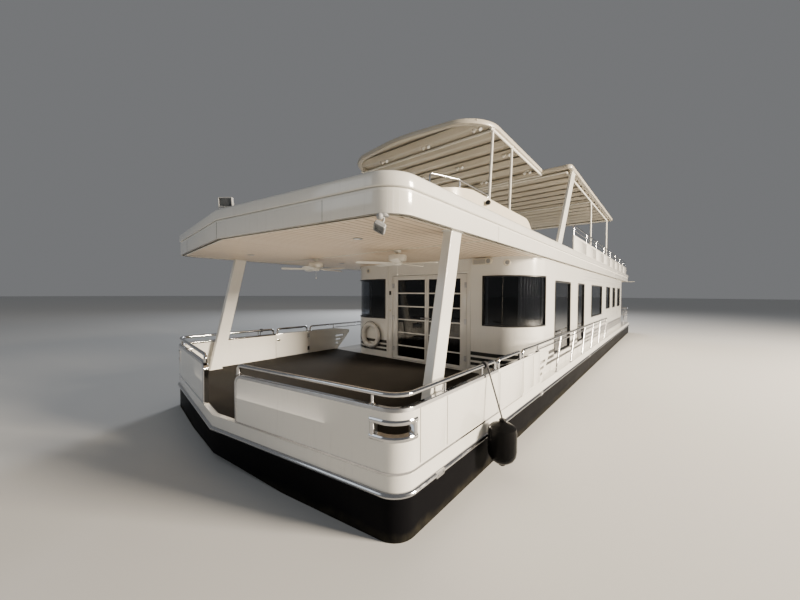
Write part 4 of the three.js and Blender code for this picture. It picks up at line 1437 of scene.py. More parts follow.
@dataclass
class Hull:
    """The black hull, the deck on it and the rub rail between them."""

    rub_low: float = -0.195
    rub_high: float = -0.140
    joints: tuple[float, ...] = (1.0, 4.2, 8.6, 13.0, 17.4)
    sleeve: Pair = (0.0095, 0.07)

    def build(self) -> None:
        """Makes the hull's pieces."""
        Bench.fitted("hull", "hull_shell", "bottom", bevel=0.006)
        Bench.fitted("main_deck", "deck_moulding", "gelcoat", bevel=0.003)
        self._carpet()
        self._rub_rail()

    def _carpet(self) -> None:
        """Lays the carpet on the bow deck, between the bulwarks and the cabin; its near-black tone is dark carpet
        with painted shade.
        """
        inset = BULWARK + 0.012
        outline = [c for c in DECK_LINE.corners(-inset) if c[1] < CABIN_FRONT]
        side = DECK_LINE.half - inset
        aft = CABIN_FRONT - 0.012
        outline[2:2] = [(side, aft, 0.03), (-side, aft, 0.03)]
        bench = Bench().plate(outline, -0.001, 0.007, edge=0.002, arc=12)
        piece = bench.finish("deck_carpet", "carpet")

    def _rub_rail(self) -> None:
        """Makes the bright half-round rail and its joint sleeves."""
        high = self.rub_high - self.rub_low
        rail = Bench().moulding(
            DECK_LINE.corners(0.001), self.rub_low,
            [(-0.012, 0.002), (-0.011, 0.010), (-0.005, high / 2 - 0.012), (0.005, high / 2 - 0.012),
             (0.011, 0.010), (0.012, 0.002)],
            arc=24,
        )
        rail.finish("rub_rail_bar", "steel", replaces=["rub_rail"])
        sleeves = Bench()
        thick, reach = self.sleeve
        for side in Side:
            for y in self.joints:
                x = side.value * (DECK_LINE.half + 0.020)
                low = (x - thick, y - reach, self.rub_low - 0.001)
                sleeves.block(low, (x + thick, y + reach, self.rub_high + 0.001), 0.006)
                for bolt in (y - 0.045, y + 0.045):
                    spot = aim((x + side.value * 0.0092, bolt, self.rub_low + high / 2), (side.value, 0, 0))
                    sleeves.lathe(foot_ring(0.008, 0.002, 0.005, 0.0045), spot, 12)
        sleeves.finish("rub_rail_sleeves", "steel")


@dataclass
class Roof:
    """The roof and upper deck: its two fascia bands, and the boarded ceiling under it."""

    pitch: float = 0.0985
    groove: float = 0.010
    board: float = 0.009
    trim: float = 0.075
    joint: float = 2.300
    butts: tuple[float, ...] = (2.540, 8.400, 14.400)
    seams: tuple[float, ...] = (0.0, 1.84, -1.84)
    rows: tuple[Pair, ...] = ((7.62, 10.92), (11.02, 14.32), (14.42, 17.72))
    files: tuple[Pair, ...] = ((-2.42, -0.85), (-0.75, 0.75), (0.85, 2.42))
    last_field: Stop = (-0.80, 17.84, 2.42, 19.90)

    def build(self) -> None:
        """Makes the roof's pieces."""
        Bench.fitted("roof", "roof_core", "tread")
        lower = [(-0.006, 0.003), (-0.004, 0.007), (0.0, 0.194), (0.003, 0.004), (0.030, 0.0)]
        upper = [
            (-0.018, 0.001), (-0.008, 0.006), (-0.002, 0.010), (0.0, 0.088), (0.004, 0.014), (0.010, 0.012),
            (0.014, 0.006), (0.030, 0.001),
        ]
        for name, coat, out, low, profile in (
            ("fascia_lower_band", "gelcoat", -0.008, 2.214, lower),
            ("fascia_cap_band", "gelcoat", -0.010, 2.450, upper),
            # The joint's near-black sealant ring is partly painted shade: the shadow line under the cap band.
            ("fascia_joint", "sealant", -0.018, 2.418, [(0.0, 0.038), (0.010, 0.0)]),
        ):
            Bench().moulding(ROOF_LINE.corners(out), low, profile, 24).finish(name, coat)
        self._ceiling()
        self._seams()
        fields = Bench()
        spans = [(x0, y0, x1, y1) for y0, y1 in self.rows for x0, x1 in self.files]
        for x0, y0, x1, y1 in (*spans, self.last_field):
            fields.block((x0, y0, ROOF - 0.001), (x1, y1, ROOF + 0.0035), 0.002, 1)
        fields.finish("upper_deck_fields", "field")

    def _ceiling(self) -> None:
        """Lays the narrow boards under the bow deck, the side deck and the after deck, and their trims."""
        boards = Bench()
        top = CEILING + 0.001
        low = CEILING - self.board
        edge = ROOF_LINE.half - self.trim
        count = round(2 * edge / self.pitch)
        for i in range(count):
            x0 = -edge + i * self.pitch + self.groove / 2
            x1 = x0 + self.pitch - self.groove
            front = max(ROOF_LINE.edge_at(x, -self.trim) for x in (x0, x1))
            for y0, y1 in ((front, self.joint), (self.joint, CABIN_FRONT + 0.78)):
                boards.block((x0, y0, low), (x1, y1, top), 0.0025, 1)
            if x1 < CABIN_STARBOARD + 0.02 or x0 > CABIN_PORT:
                boards.block((x0, CABIN_FRONT + 0.78, low), (x1, CABIN_AFT, top), 0.0025, 1)
            boards.block((x0, CABIN_AFT, low), (x1, ROOF_LINE.aft - 0.08, top), 0.0025, 1)
        boards.opening_clear((-1.66, 18.35), (-0.94, 19.75))
        boards.finish("ceiling_boards", "boards")
        # The near-black backing is painted shade, seen in the grooves between the boards.
        backing = Bench()
        level = (CEILING - 0.0025, CEILING - 0.0005)
        after = CABIN_FRONT + 0.78
        outline = [c for c in ROOF_LINE.corners(-self.trim) if c[1] < after]
        outline[2:2] = [(edge, after, 0.0), (-edge, after, 0.0)]
        backing.plate(outline, *level)
        for x0, y0, x1, y1 in (
            (CABIN_PORT, after, edge, CABIN_AFT), (-edge, after, CABIN_STARBOARD, CABIN_AFT),
            (-edge, CABIN_AFT, edge, 18.34), (-0.93, 18.34, edge, 19.76), (-edge, 18.34, -1.67, 19.76),
            (-edge, 19.76, edge, ROOF_LINE.aft - 0.08),
        ):
            backing.block((x0, y0, level[0]), (x1, y1, level[1]))
        backing.finish("ceiling_backing", "lining", slot="cream")
        trim = Bench().moulding(
            ROOF_LINE.corners(-0.026), 2.217, [(0.004, -0.002), (0.052, 0.0), (0.006, 0.006), (0.0, 0.010)], arc=24
        )
        y = self.joint
        trim.block((-edge, y - 0.022, low - 0.006), (edge, y + 0.022, top), 0.003)
        trim.finish("ceiling_trim", "cream")

    def _seams(self) -> None:
        """Marks the joints of the lower band and covers the one on each side."""
        seams = Bench()
        for x in self.seams:
            y = ROOF_LINE.front_at(x, 0.0026)
            seams.block((x - 0.0015, y - 0.001, 2.222), (x + 0.0015, y + 0.004, 2.424))
        seams.finish("fascia_seams", "sealant")
        covers = Bench()
        for side in Side:
            x = side.value * ROOF_LINE.half
            for y in self.butts:
                covers.block((x - 0.006, y - 0.022, 2.218), (x + 0.006, y + 0.022, 2.422), 0.002)
        covers.finish("fascia_butt_covers", "gelcoat")


@dataclass
class Bulwark:
    """One side's bulwark at the bow: the glossy wall, its bright cap, the hawse frame and the top rail."""

    side: Side
    gap_radius: float = 0.100
    aft: float = GATE[0] - 0.008
    middle: float = -BULWARK / 2
    hawse: tuple[Corner, Corner] = ((2.460, -0.300, 0.322), (2.900, 0.620, 0.434))
    flange: float = 0.038
    lip: float = 0.035
    panels: tuple[Pair, ...] = ((0.70, 1.11), (1.15, 1.98))
    posts: tuple[float, ...] = (2.430,)
    side_posts: tuple[float, ...] = (1.150, 1.980)

    def build(self) -> None:
        """Makes the bulwark's pieces."""
        named = self.side.named
        self._wall().mirrored(self.side).finish(
            named("bulwark_wall"), "gelcoat", bevel=0.004, replaces=[named("bow_bulwark")]
        )
        self._cap().mirrored(self.side).finish(
            named("bulwark_cap"), "mirror", bevel=0.0025, replaces=[named("bow_rail")]
        )
        self._rail().mirrored(self.side).finish(named("bulwark_rail"), "mirror")
        self._panels().mirrored(self.side).finish(named("bulwark_panels"), "gelcoat")
        self._hawse().mirrored(self.side).finish(named("hawse_frame"), "mirror", sharp=60.0)
        self._foot().mirrored(self.side).finish(named("bulwark_foot"), "steel")

    def _route(self, start: float, out: float, z: float, aft: float) -> list[Stop]:
        """The line along the front and the side, at an offset from the deck's edge.

        Args:
            start: Where it starts, off the centreline.
            out: The offset from the deck's edge.
            z: Its level.
            aft: Where it ends.

        Returns:
            The stops.
        """
        x, y, radius = DECK_LINE.corners(out)[1]
        return [(start, DECK_LINE.front_at(start, out), z, 0.0), (x, y, z, radius), (x, aft, z, 0.0)]

    def _wall(self) -> Bench:
        """The wall, round at its top where the bow gap starts, with the hawse hole.

        Returns:
            Its bench.
        """
        half = BULWARK / 2
        bench = Bench()
        bench.sweep(
            rectangle(-half, 0.0, half, CAP),
            self._route(BOW_GAP, self.middle, 0.0, self.aft), (0, 0, 1), 16,
        )
        ends = [
            e for e in bench.bm.edges
            if all(v.co.z > CAP - 0.001 and v.co.x < BOW_GAP + 0.03 for v in e.verts)
        ]
        bench.round_edges(ends, self.gap_radius, 10)
        return bench.opening(*self.hawse)

    def _cap(self) -> Bench:
        """The bright strip up the gap's end and along the top.

        Returns:
            Its bench.
        """
        x, y, radius = DECK_LINE.corners(self.middle)[1]
        start = BOW_GAP - 0.004
        front = DECK_LINE.front_at(start, self.middle)
        top = CAP + 0.004
        route = [
            (start, front, 0.010, 0.0), (start, front, top, self.gap_radius + 0.004),
            (x, y, top, radius), (x, self.aft, top, 0.0),
        ]
        half = BULWARK / 2 + 0.004
        section = [
            (-half, -self.lip), (half, -self.lip), (half, -0.002), (half - 0.006, 0.004), (0.006 - half, 0.004),
            (-half, -0.002),
        ]
        return Bench().sweep(section, route, (-1, 0, 0), 16)

    def _rail(self) -> Bench:
        """The round top rail, and its posts with their feet.

        Returns:
            Its bench.
        """
        start = BOW_GAP + 0.030
        x, y, radius = DECK_LINE.corners(self.middle)[1]
        front = DECK_LINE.front_at(start, self.middle)
        last = GATE[0] - 0.060
        foot = CAP + 0.006
        route = [
            (start, front, foot, 0.0), (start, front, RAIL, 0.055), (x, y, RAIL, radius),
            (x, last, RAIL, 0.055), (x, last, foot, 0.0),
        ]
        bench = Bench().sweep(circle(RAIL_TUBE, 18), route, (0, 1, 0), 12)
        places = [(p, DECK_LINE.front_at(p, self.middle)) for p in self.posts]
        places += [(x, p) for p in self.side_posts]
        for px, py in places:
            bench.tube([(px, py, foot), (px, py, RAIL)], POST_TUBE, sides=14)
        for px, py in [*places, (start, front), (x, last)]:
            bench.lathe(foot_ring(0.033, 0.005, 0.026, 0.010),
                        Matrix.Translation((px, py, CAP + 0.006)), 20)
        return bench

    def _panels(self) -> Bench:
        """The raised panels on the side.

        Returns:
            Their bench.
        """
        bench = Bench()
        x = DECK_LINE.half
        for low, high in self.panels:
            bench.block((x - 0.004, low, 0.045), (x + 0.007, high, 0.535), 0.006, 3)
        return bench

    def _hawse(self) -> Bench:
        """The thick bright frame that lines the hole round the bow's corner and laps over the wall.

        Returns:
            Its bench.
        """
        (start, _, z0), (_, end, z1) = self.hawse
        wide, lap = self.flange, 0.006
        x, y, radius = DECK_LINE.corners(self.middle)[1]
        bench = Bench()
        half = BULWARK / 2 + 0.007

        def bar(low: float, high: float, x0: float, y1: float) -> None:
            """Lays a bar of the frame along the wall, from x0 on the front round to y1 on the side.

            Args:
                low: Its lower level.
                high: Its upper level.
                x0: Where it starts on the front.
                y1: Where it ends on the side.
            """
            rounds = ((0.30, 0.0), (0.10, 0.25), (0.0, 0.5), (0.10, 0.75), (0.30, 1.0))
            outer = [(half + 0.006 - 0.030 * inset, low + (high - low) * share) for inset, share in rounds]
            section = [*outer, *((-u, v) for u, v in reversed(outer))]
            route = [(x0, DECK_LINE.front_at(x0, self.middle), 0.0, 0.0), (x, y, 0.0, radius), (x, y1, 0.0, 0.0)]
            bench.sweep(section, route, (0, 0, 1), 20)

        bar(z0 - wide, z0 + lap, start - wide, end + wide)
        bar(z1 - lap, z1 + wide, start - wide, end + wide)
        front = (DECK_LINE.front_at(start, self.middle), math.atan(DECK_LINE.slope))
        ends = ((Matrix.Translation((start, front[0], 0)) @ Matrix.Rotation(front[1], 4, "Z"), -1),
                (Matrix.Translation((x, end, 0)) @ Matrix.Rotation(math.pi / 2, 4, "Z"), 1))
        for place, way in ends:
            u0, u1 = sorted((-way * lap, way * wide))
            block = Bench().block((u0, -0.003 - half, z0 - 0.01), (u1, half + 0.003, z1 + 0.01), 0.014, 5)
            bench.set_in(block, place)
        return bench

    def _foot(self) -> Bench:
        """The bright strip along the foot of the wall."""
        section = rectangle(-0.002, 0.006, 0.003, 0.026)
        return Bench().sweep(section, self._route(BOW_GAP + 0.01, 0.0015, 0.0, self.aft), (0, 0, 1), 16)


@dataclass
class Gate:
    """A boarding gate in the bulwark, with its hoop, hinges and latch."""

    side: Side
    inner: float = DECK_LINE.half - BULWARK
    outer: float = DECK_LINE.half
    hinge: Pair = (2.67305, 3.304)
    inset: float = 0.045

    def build(self) -> None:
        """Makes the gate's pieces."""
        named = self.side.named
        body = named("gate")
        y0, y1 = GATE
        slab = Bench().block((self.inner, y0, 0.012), (self.outer, y1, CAP), 0.006, 3)
        fore, after = y0 + self.inset, y1 - self.inset
        slab.block((self.outer - 0.004, fore, 0.055), (self.outer + 0.007, after, 0.525), 0.006, 3)
        slab.mirrored(self.side).finish(named("gate_panel"), "gelcoat", body, replaces=[named("side_gate")])
        middle = (self.inner + self.outer) / 2
        low = CAP - 0.002
        route = [(middle, fore, low), (middle, fore, RAIL), (middle, after, RAIL), (middle, after, low)]
        hoop = Bench().tube(route, RAIL_TUBE, 0.055, 18, 10)
        for y in (fore, after):
            hoop.lathe(foot_ring(0.033, 0.005, 0.026, 0.010),
                       Matrix.Translation((middle, y, CAP)), 20)
        hoop.block((self.inner + 0.003, y0 + 0.004, CAP - 0.002), (self.outer - 0.003, y1 - 0.004, CAP + 0.004),
                   0.002)
        hoop.block((self.inner - 0.010, y0 + 0.02, 0.40), (self.inner + 0.002, y0 + 0.09, 0.44), 0.004)
        hoop.tube([(self.inner - 0.010, y0 + 0.03, 0.42), (self.inner - 0.010, y0 + 0.115, 0.42)], 0.005, sides=10)
        hx, hy = self.hinge
        for z in (0.130, 0.450):
            hoop.lathe(HINGE_PIN,
                       Matrix.Translation((hx, hy, z)), 16)
            hoop.block((hx - 0.001, hy - 0.048, z - 0.053), (self.inner + 0.001, hy, z + 0.053), 0.001, 1)
        hoop.mirrored(self.side).finish(named("gate_hoop"), "mirror", body)


@dataclass
class SidePanel:
    """The last panel aft of a gate, its slotted wing, and the long rail on leaning struts."""

    side: Side
    aft: float
    fore: float = GATE[1] + 0.008
    lower: float = 0.590
    pitch: float = 1.250
    first: float = 5.290
    lean: float = 0.350

    def build(self) -> None:
        """Makes the panel, its trim and the rail."""
        named = self.side.named
        Bench.fitted(named("side_panel"), named("wing_panel"), "gelcoat", bevel=0.006, segments=3)
        raised = Bench()
        x = DECK_LINE.half
        for y0, y1 in ((self.fore + 0.02, 3.76), (3.80, PANEL_AFT - 0.02)):
            raised.block((x - 0.004, y0, 0.045), (x + 0.007, y1, 0.535), 0.006, 3)
        raised.mirrored(self.side).finish(named("wing_raised"), "gelcoat")
        self._rail().mirrored(self.side).finish(named("long_rail"), "mirror", replaces=[named("side_rail")])

    def _rail(self) -> Bench:
        """The cap strip, the round rail, the lower bar and the struts.

        Returns:
            Their bench.
        """
        x = DECK_LINE.half - BULWARK / 2
        bench = Bench().block((x - 0.034, self.fore, CAP - 0.002), (x + 0.034, PANEL_AFT, CAP + 0.008), 0.003)
        foot = CAP + 0.006
        bench.tube(
            [(x, self.fore + 0.05, foot), (x, self.fore + 0.05, RAIL), (x, self.aft, RAIL), (x, self.aft, 0.0)],
            0.0215, 0.07, 16, 8,
        )
        bench.tube([(x, PANEL_AFT - 0.042, foot), (x, PANEL_AFT - 0.042, RAIL)], POST_TUBE, sides=14)
        bench.tube([(x, PANEL_AFT - 0.05, self.lower), (x, self.aft, self.lower)], BAR_TUBE, sides=12)
        flange = foot_ring(0.036, 0.004, 0.028, 0.010)
        for y in (self.fore + 0.05, PANEL_AFT - 0.042):
            bench.lathe(flange, Matrix.Translation((x, y, foot)), 18)
        y = self.first
        while y + self.lean < self.aft - 0.2:
            bench.tube([(x, y, 0.0), (x, y + self.lean, RAIL)], 0.0155, sides=12)
            bench.lathe(flange, Matrix.Translation((x, y, 0.0)), 18)
            y += self.pitch
        bench.lathe(flange, Matrix.Translation((x, self.aft, 0.0)), 18)
        return bench


@dataclass
class Columns:
    """The two raked box columns that carry the front of the roof."""

    x: Pair = (2.498, 2.632)
    foot: Pair = (0.896, 1.146)
    head: Pair = (1.400, 1.656)

    def build(self) -> None:
        """Makes both columns with their foot and head mouldings."""
        for side in Side:
            Bench.fitted(side.named("column"), side.named("raked_column"), "gelcoat", bevel=0.012, segments=4)
            plates = Bench()
            for (y0, y1), low, high in (
                (self.foot, -0.001, 0.014), (self.head, CEILING - 0.020, CEILING - 0.002),
            ):
                plates.block((self.x[0], y0, low), (self.x[1], y1, high), 0.006, 3)
            plates.mirrored(side).finish(side.named("column_flanges"), "gelcoat")


@dataclass
class Cabin:
    """The cabin's shell with its round front corners, windows, trims and stripes."""

    wall: float = 0.070
    split: float = 5.000
    doorway: tuple[Corner, Corner] = ((-0.580, 4.0, 0.020), (1.350, 4.4, 1.940))
    port_window: float = 1.690
    starboard_window: float = -0.820
    window_aft: float = 4.930
    bands: tuple[Pair, ...] = ((0.345, 0.415), (0.245, 0.305), (0.150, 0.205))
    lines: tuple[float, ...] = (2.140, 2.040, 1.950)
    port_lights: tuple[Stop, ...] = (
        (5.6, 6.95, 0.3, 1.8), (7.8, 8.6, 0.3, 1.8), (9.7, 11.7, 0.85, 1.8), (12.7, 13.7, 1.0, 1.8),
        (14.5, 15.3, 1.0, 1.8), (16.1, 17.1, 1.0, 1.8),
    )
    starboard_lights: tuple[Stop, ...] = (
        (5.6, 6.95, 0.85, 1.8), (7.8, 9.1, 0.85, 1.8), (10.0, 11.4, 0.85, 1.8), (12.7, 13.7, 1.0, 1.8),
        (14.5, 15.3, 1.0, 1.8), (16.1, 17.1, 1.0, 1.8),
    )

    def route(self, out: float, z: float, start: float, end: float) -> list[Stop]:
        """The cabin's front line at an offset, from the starboard wall round to the port one.

        Args:
            out: How far it lies outside the cabin's faces.
            z: Its level.
            start: Where it starts on the starboard side.
            end: Where it ends on the port side.

        Returns:
            The stops.
        """
        left, right = CABIN_STARBOARD - out, CABIN_PORT + out
        front = CABIN_FRONT - out
        corner = CABIN_CORNER + out
        return [(left, start, z, 0.0), (left, front, z, corner), (right, front, z, corner), (right, end, z, 0.0)]

    def corner_route(self, side: Side, out: float, z: float) -> list[Stop]:
        """The line along one corner window, from its front edge to its after edge.

        Args:
            side: The window's side.
            out: How far it lies outside the cabin's faces.
            z: Its level.

        Returns:
            The stops.
        """
        front = CABIN_FRONT - out
        wall = CABIN_PORT + out if side is Side.PORT else CABIN_STARBOARD - out
        start = self.port_window if side is Side.PORT else self.starboard_window
        return [(start, front, z, 0.0), (wall, front, z, CABIN_CORNER + out), (wall, self.window_aft, z, 0.0)]

    def build(self) -> None:
        """Makes the cabin's pieces."""
        walls = [self._shell().finish("cabin_shell", "gelcoat", bevel=0.004, replaces=["cabin_front"])]
        for side in Side:
            node = side.named("cabin")
            walls.append(Bench.fitted(node, side.named("cabin_side"), "gelcoat", bevel=0.004))
            self._corner_window(side)
            self._side_windows(side)
        walls.append(Bench.fitted("cabin_aft", "cabin_back", "gelcoat", bevel=0.004))
        for wall in walls:
            self._lined(wall)
        self._trims()
        self._stripes()
        self._lining()
        self._screens()

    @staticmethod
    def _lined(piece: bpy.types.Object) -> None:
        """Gives a wall's inner faces the near-black lining, which is painted shade inside the cabin.

        Args:
            piece: The wall's piece.
        """
        piece.data.materials.append(Bench.locker["lining"])
        middle = Vector(((CABIN_PORT + CABIN_STARBOARD) / 2, CABIN_FRONT + 2.5, 0.0)) + Bench.datum
        inside = ((CABIN_STARBOARD + 0.060, CABIN_FRONT + 0.060), (CABIN_PORT - 0.060, CABIN_AFT - 0.060))
        for face in piece.data.polygons:
            place = face.center - Bench.datum
            within = all(inside[0][k] < place[k] < inside[1][k] for k in range(2))
            inwards = face.normal.dot(Vector((middle.x - face.center.x, middle.y - face.center.y, 0.0)))
            if within and inwards > 0.0 and abs(face.normal.z) < 0.5:
                face.material_index = 1

    def _shell(self) -> Bench:
        """The curved front wall with its windows and doorway.

        Returns:
            Its bench.
        """
        half = self.wall / 2
        bench = Bench().sweep(
            rectangle(-half, 0.0, half, CEILING),
            self.route(-half, 0.0, self.split, self.split), (0, 0, 1), 24,
        )
        bench.opening((self.port_window, 4.0, WINDOW_LOW), (3.0, self.window_aft, WINDOW_HIGH))
        bench.opening((-3.0, 4.0, WINDOW_LOW), (self.starboard_window, self.window_aft, WINDOW_HIGH))
        return bench.opening(*self.doorway)

    def _corner_window(self, side: Side) -> None:
        """One corner window: its curved pane, and the black frame round it.

        Args:
            side: The window's side.
        """
        tall = WINDOW_HIGH - WINDOW_LOW
        pane = Bench().sweep(
            rectangle(-0.005, 0.0, 0.005, tall),
            self.corner_route(side, -0.026, WINDOW_LOW), (0, 0, 1), 24,
        )
        pane.finish(side.named("corner_pane"), "smoked", replaces=[side.named("corner_glass")])
        frame = Bench()
        for z in (WINDOW_LOW, WINDOW_HIGH):
            frame.sweep(rectangle(-0.014, -0.014, 0.014, 0.014),
                        self.corner_route(side, -0.006, z), (0, 0, 1), 24)
        start = self.port_window if side is Side.PORT else self.starboard_window
        wall = (CABIN_PORT if side is Side.PORT else CABIN_STARBOARD) - side.value * 0.006
        y = CABIN_FRONT + 0.006
        frame.block((start - 0.016, y - 0.014, WINDOW_LOW - 0.014), (start + 0.016, y + 0.014, WINDOW_HIGH + 0.014),
                    0.003)
        frame.block((wall - 0.014, self.window_aft - 0.016, WINDOW_LOW - 0.014),
                    (wall + 0.014, self.window_aft + 0.016, WINDOW_HIGH + 0.014), 0.003)
        frame.finish(side.named("corner_frame"), "black", bevel=0.003)

    def _side_windows(self, side: Side) -> None:
        """The long side's windows: dark panes in black frames.

        Args:
            side: The windows' side.
        """
        lights = self.port_lights if side is Side.PORT else self.starboard_lights
        wall = CABIN_PORT if side is Side.PORT else CABIN_STARBOARD
        out = side.value
        panes, frames = Bench(), Bench()
        for y0, y1, z0, z1 in lights:
            level = wall - out * 0.028
            outline = rectangle(y0 + 0.004, z0 + 0.004, y1 - 0.004, z1 - 0.004, 0.05)
            panes.plate(outline, level - 0.004, level + 0.004, Facing.SIDE)
            outline = rectangle(y0 - 0.022, z0 - 0.022, y1 + 0.022, z1 + 0.022, 0.06)
            start = wall + out * 0.008
            frames.moulding(outline, start, [(0.004, out * 0.003), (0.024, 0.0), (0.008, -out * 0.006),
                                             (0.0, -out * 0.045), (-0.012, 0.0), (0.0, out * 0.030)], 8,
                                             Facing.SIDE)
        panes.finish(side.named("side_panes"), "smoked", replaces=[side.named("side_glass")])
        frames.finish(side.named("side_frames"), "black")

    def _trims(self) -> None:
        """The pilasters beside the doors, the door casing and the head moulding."""
        bench = Bench()
        y = CABIN_FRONT
        for x in (-0.735, 1.415):
            bench.block((x - 0.022, y - 0.012, 0.0), (x + 0.022, y + 0.004, CEILING - 0.008), 0.004)
        (x0, _, z0), (x1, _, z1) = self.doorway
        for a, b in ((x0 - 0.055, x0 - 0.004), (x1 + 0.004, x1 + 0.042)):
            bench.block((a, y - 0.005, 0.0), (b, y + 0.004, z1 + 0.045), 0.002)
        bench.block((x0 - 0.055, y - 0.008, z1 + 0.004), (x1 + 0.042, y + 0.004, z1 + 0.050), 0.003)
        bench.sweep(rectangle(-0.010, 0.0, 0.010, 0.045),
                    self.route(0.0, CEILING - 0.052, 5.6, 5.6), (0, 0, 1), 24)
        bench.finish("cabin_trims", "gelcoat")

    def _stripes(self) -> None:
        """The three dark bands low on the front and sides, and the thin lines high on the sides."""
        low, high = Bench(), Bench()
        aft = CABIN_AFT - 0.010
        for side in Side:
            out = side.value
            wall = CABIN_PORT if side is Side.PORT else CABIN_STARBOARD
            start = 1.442 if side is Side.PORT else -0.762
            lights = self.port_lights if side is Side.PORT else self.starboard_lights
            for z0, z1 in self.bands:
                cuts = [(y0 - 0.024, y1 + 0.024) for y0, y1, foot, _ in lights if foot - 0.024 < z1]
                stops = [*(y for cut in cuts for y in cut), aft]
                section = rectangle(-0.003, z0, 0.0015, z1)
                section = [(-out * a, b) for a, b in section]
                route = [(start, CABIN_FRONT, 0.0, 0.0), (wall, CABIN_FRONT, 0.0, CABIN_CORNER),
                         (wall, stops[0], 0.0, 0.0)]
                low.sweep(section, route, (0, 0, 1), 24)
                for y0, y1 in zip(stops[1::2], stops[2::2]):
                    low.block((wall - 0.003, y0, z0),
                              (wall + 0.0015, y1, z1) if out > 0 else (wall + 0.003, y1, z1))
            face = rectangle(-0.0015, -0.0075, 0.003, 0.0075)
            for z in self.lines[:2]:
                high.sweep(face, [(wall, 8.70, z, 0.0), (wall, aft, z, 0.0)], (0, 0, 1))
            swoop = [(wall, 8.02, 1.850, 0.0), (wall, 8.30, 1.880, 0.8), (wall, 8.90, self.lines[2], 1.6),
                     (wall, aft, self.lines[2], 0.0)]
            high.sweep(face, swoop, (0, 0, 1), 8)
        low.finish("dark_bands", "black")
        high.finish("side_lines", "grey", slot="steel")

    def _lining(self) -> None:
        """The floor and headlining inside, near black as painted shade, and the curtains drawn back in the port
        corner window.
        """
        left, right = CABIN_STARBOARD + self.wall, CABIN_PORT - self.wall
        front, aft = CABIN_FRONT + self.wall, CABIN_AFT - self.wall
        corner = CABIN_CORNER - self.wall
        outline = [(left + 0.004, front + 0.004, corner), (right - 0.004, front + 0.004, corner),
                   (right - 0.004, aft - 0.004, 0.01), (left + 0.004, aft - 0.004, 0.01)]
        lining = Bench().plate(outline, 0.001, 0.008, arc=16)
        lining.plate(outline, CEILING - 0.012, CEILING - 0.004, arc=16)
        lining.finish("saloon_lining", "lining")
        for name, first, last, folds in (("curtain_side", 0.52, 1.0, 9), ("curtain_edge", 0.0, 0.045, 2)):
            self._curtain(name, first, last, folds)

    def _screens(self) -> None:
        """The sliding screens behind the side windows and the cross wall aft of the saloon, near black as painted
        shade inside the cabin.
        """
        screens = Bench()
        for side, lights in ((Side.PORT, self.port_lights), (Side.STARBOARD, self.starboard_lights)):
            inner = (CABIN_PORT if side is Side.PORT else CABIN_STARBOARD) - side.value * (self.wall + 0.024)
            for y0, y1, z0, z1 in lights:
                x0, x1 = sorted((inner, inner - side.value * 0.006))
                middle = (y0 + y1) / 2
                screens.block((x0, y0 - 0.04, z0 - 0.04), (x1, middle + 0.02, z1 + 0.04), 0.001, 1)
                lap = -side.value * 0.012
                screens.block((x0 + lap, middle - 0.02, z0 - 0.04), (x1 + lap, y1 + 0.04, z1 + 0.04), 0.001, 1)
        screens.block((CABIN_STARBOARD + 0.200, 9.30, 0.010), (CABIN_PORT - 0.200, 9.34, CEILING - 0.014), 0.002, 1)
        screens.finish("window_screens", "lining")

    def _curtain(self, name: str, first: float, last: float, folds: int) -> None:
        """One gathered curtain behind the port corner window.

        Args:
            name: The piece's name.
            first: Where it starts along the window, from 0 at its front edge to 1 at its after edge.
            last: Where it ends.
            folds: How many folds hang in it.
        """
        inset = 0.110
        x0, y0 = self.port_window, CABIN_FRONT + inset
        radius = CABIN_CORNER - inset
        centre = Vector((CABIN_PORT - CABIN_CORNER, CABIN_FRONT + CABIN_CORNER))
        straight = centre.x - x0
        whole = straight + radius * math.pi / 2
        low, high = WINDOW_LOW - 0.180, WINDOW_HIGH + 0.120
        steps = folds * 10
        bm = bmesh.new()
        bmesh.ops.create_grid(bm, x_segments=steps, y_segments=24, size=0.5)
        for vert in bm.verts:
            u, v = vert.co.x + 0.5, vert.co.y + 0.5
            along = (first + (last - first) * u) * whole
            phase = 2 * math.pi * folds * u
            wave = 0.026 * math.sin(phase + 0.5 * math.sin(3.1 * v + 2.0 * u)) * (0.65 + 0.35 * (1 - v))
            along += 0.010 * math.sin(2 * phase + 1.2 * v)
            if along <= straight:
                vert.co = Vector((x0 + along, y0 + wave, low + (high - low) * v))
            else:
                turn = (along - straight) / radius
                reach = radius - wave
                vert.co = Vector((centre.x + reach * math.sin(turn), centre.y - reach * math.cos(turn),
                                  low + (high - low) * v))
        bench = Bench()
        bench.bm = bm
        area = sum(face.calc_area() for face in bm.faces)
        piece = bench.finish(name, "curtain", sharp=180.0)


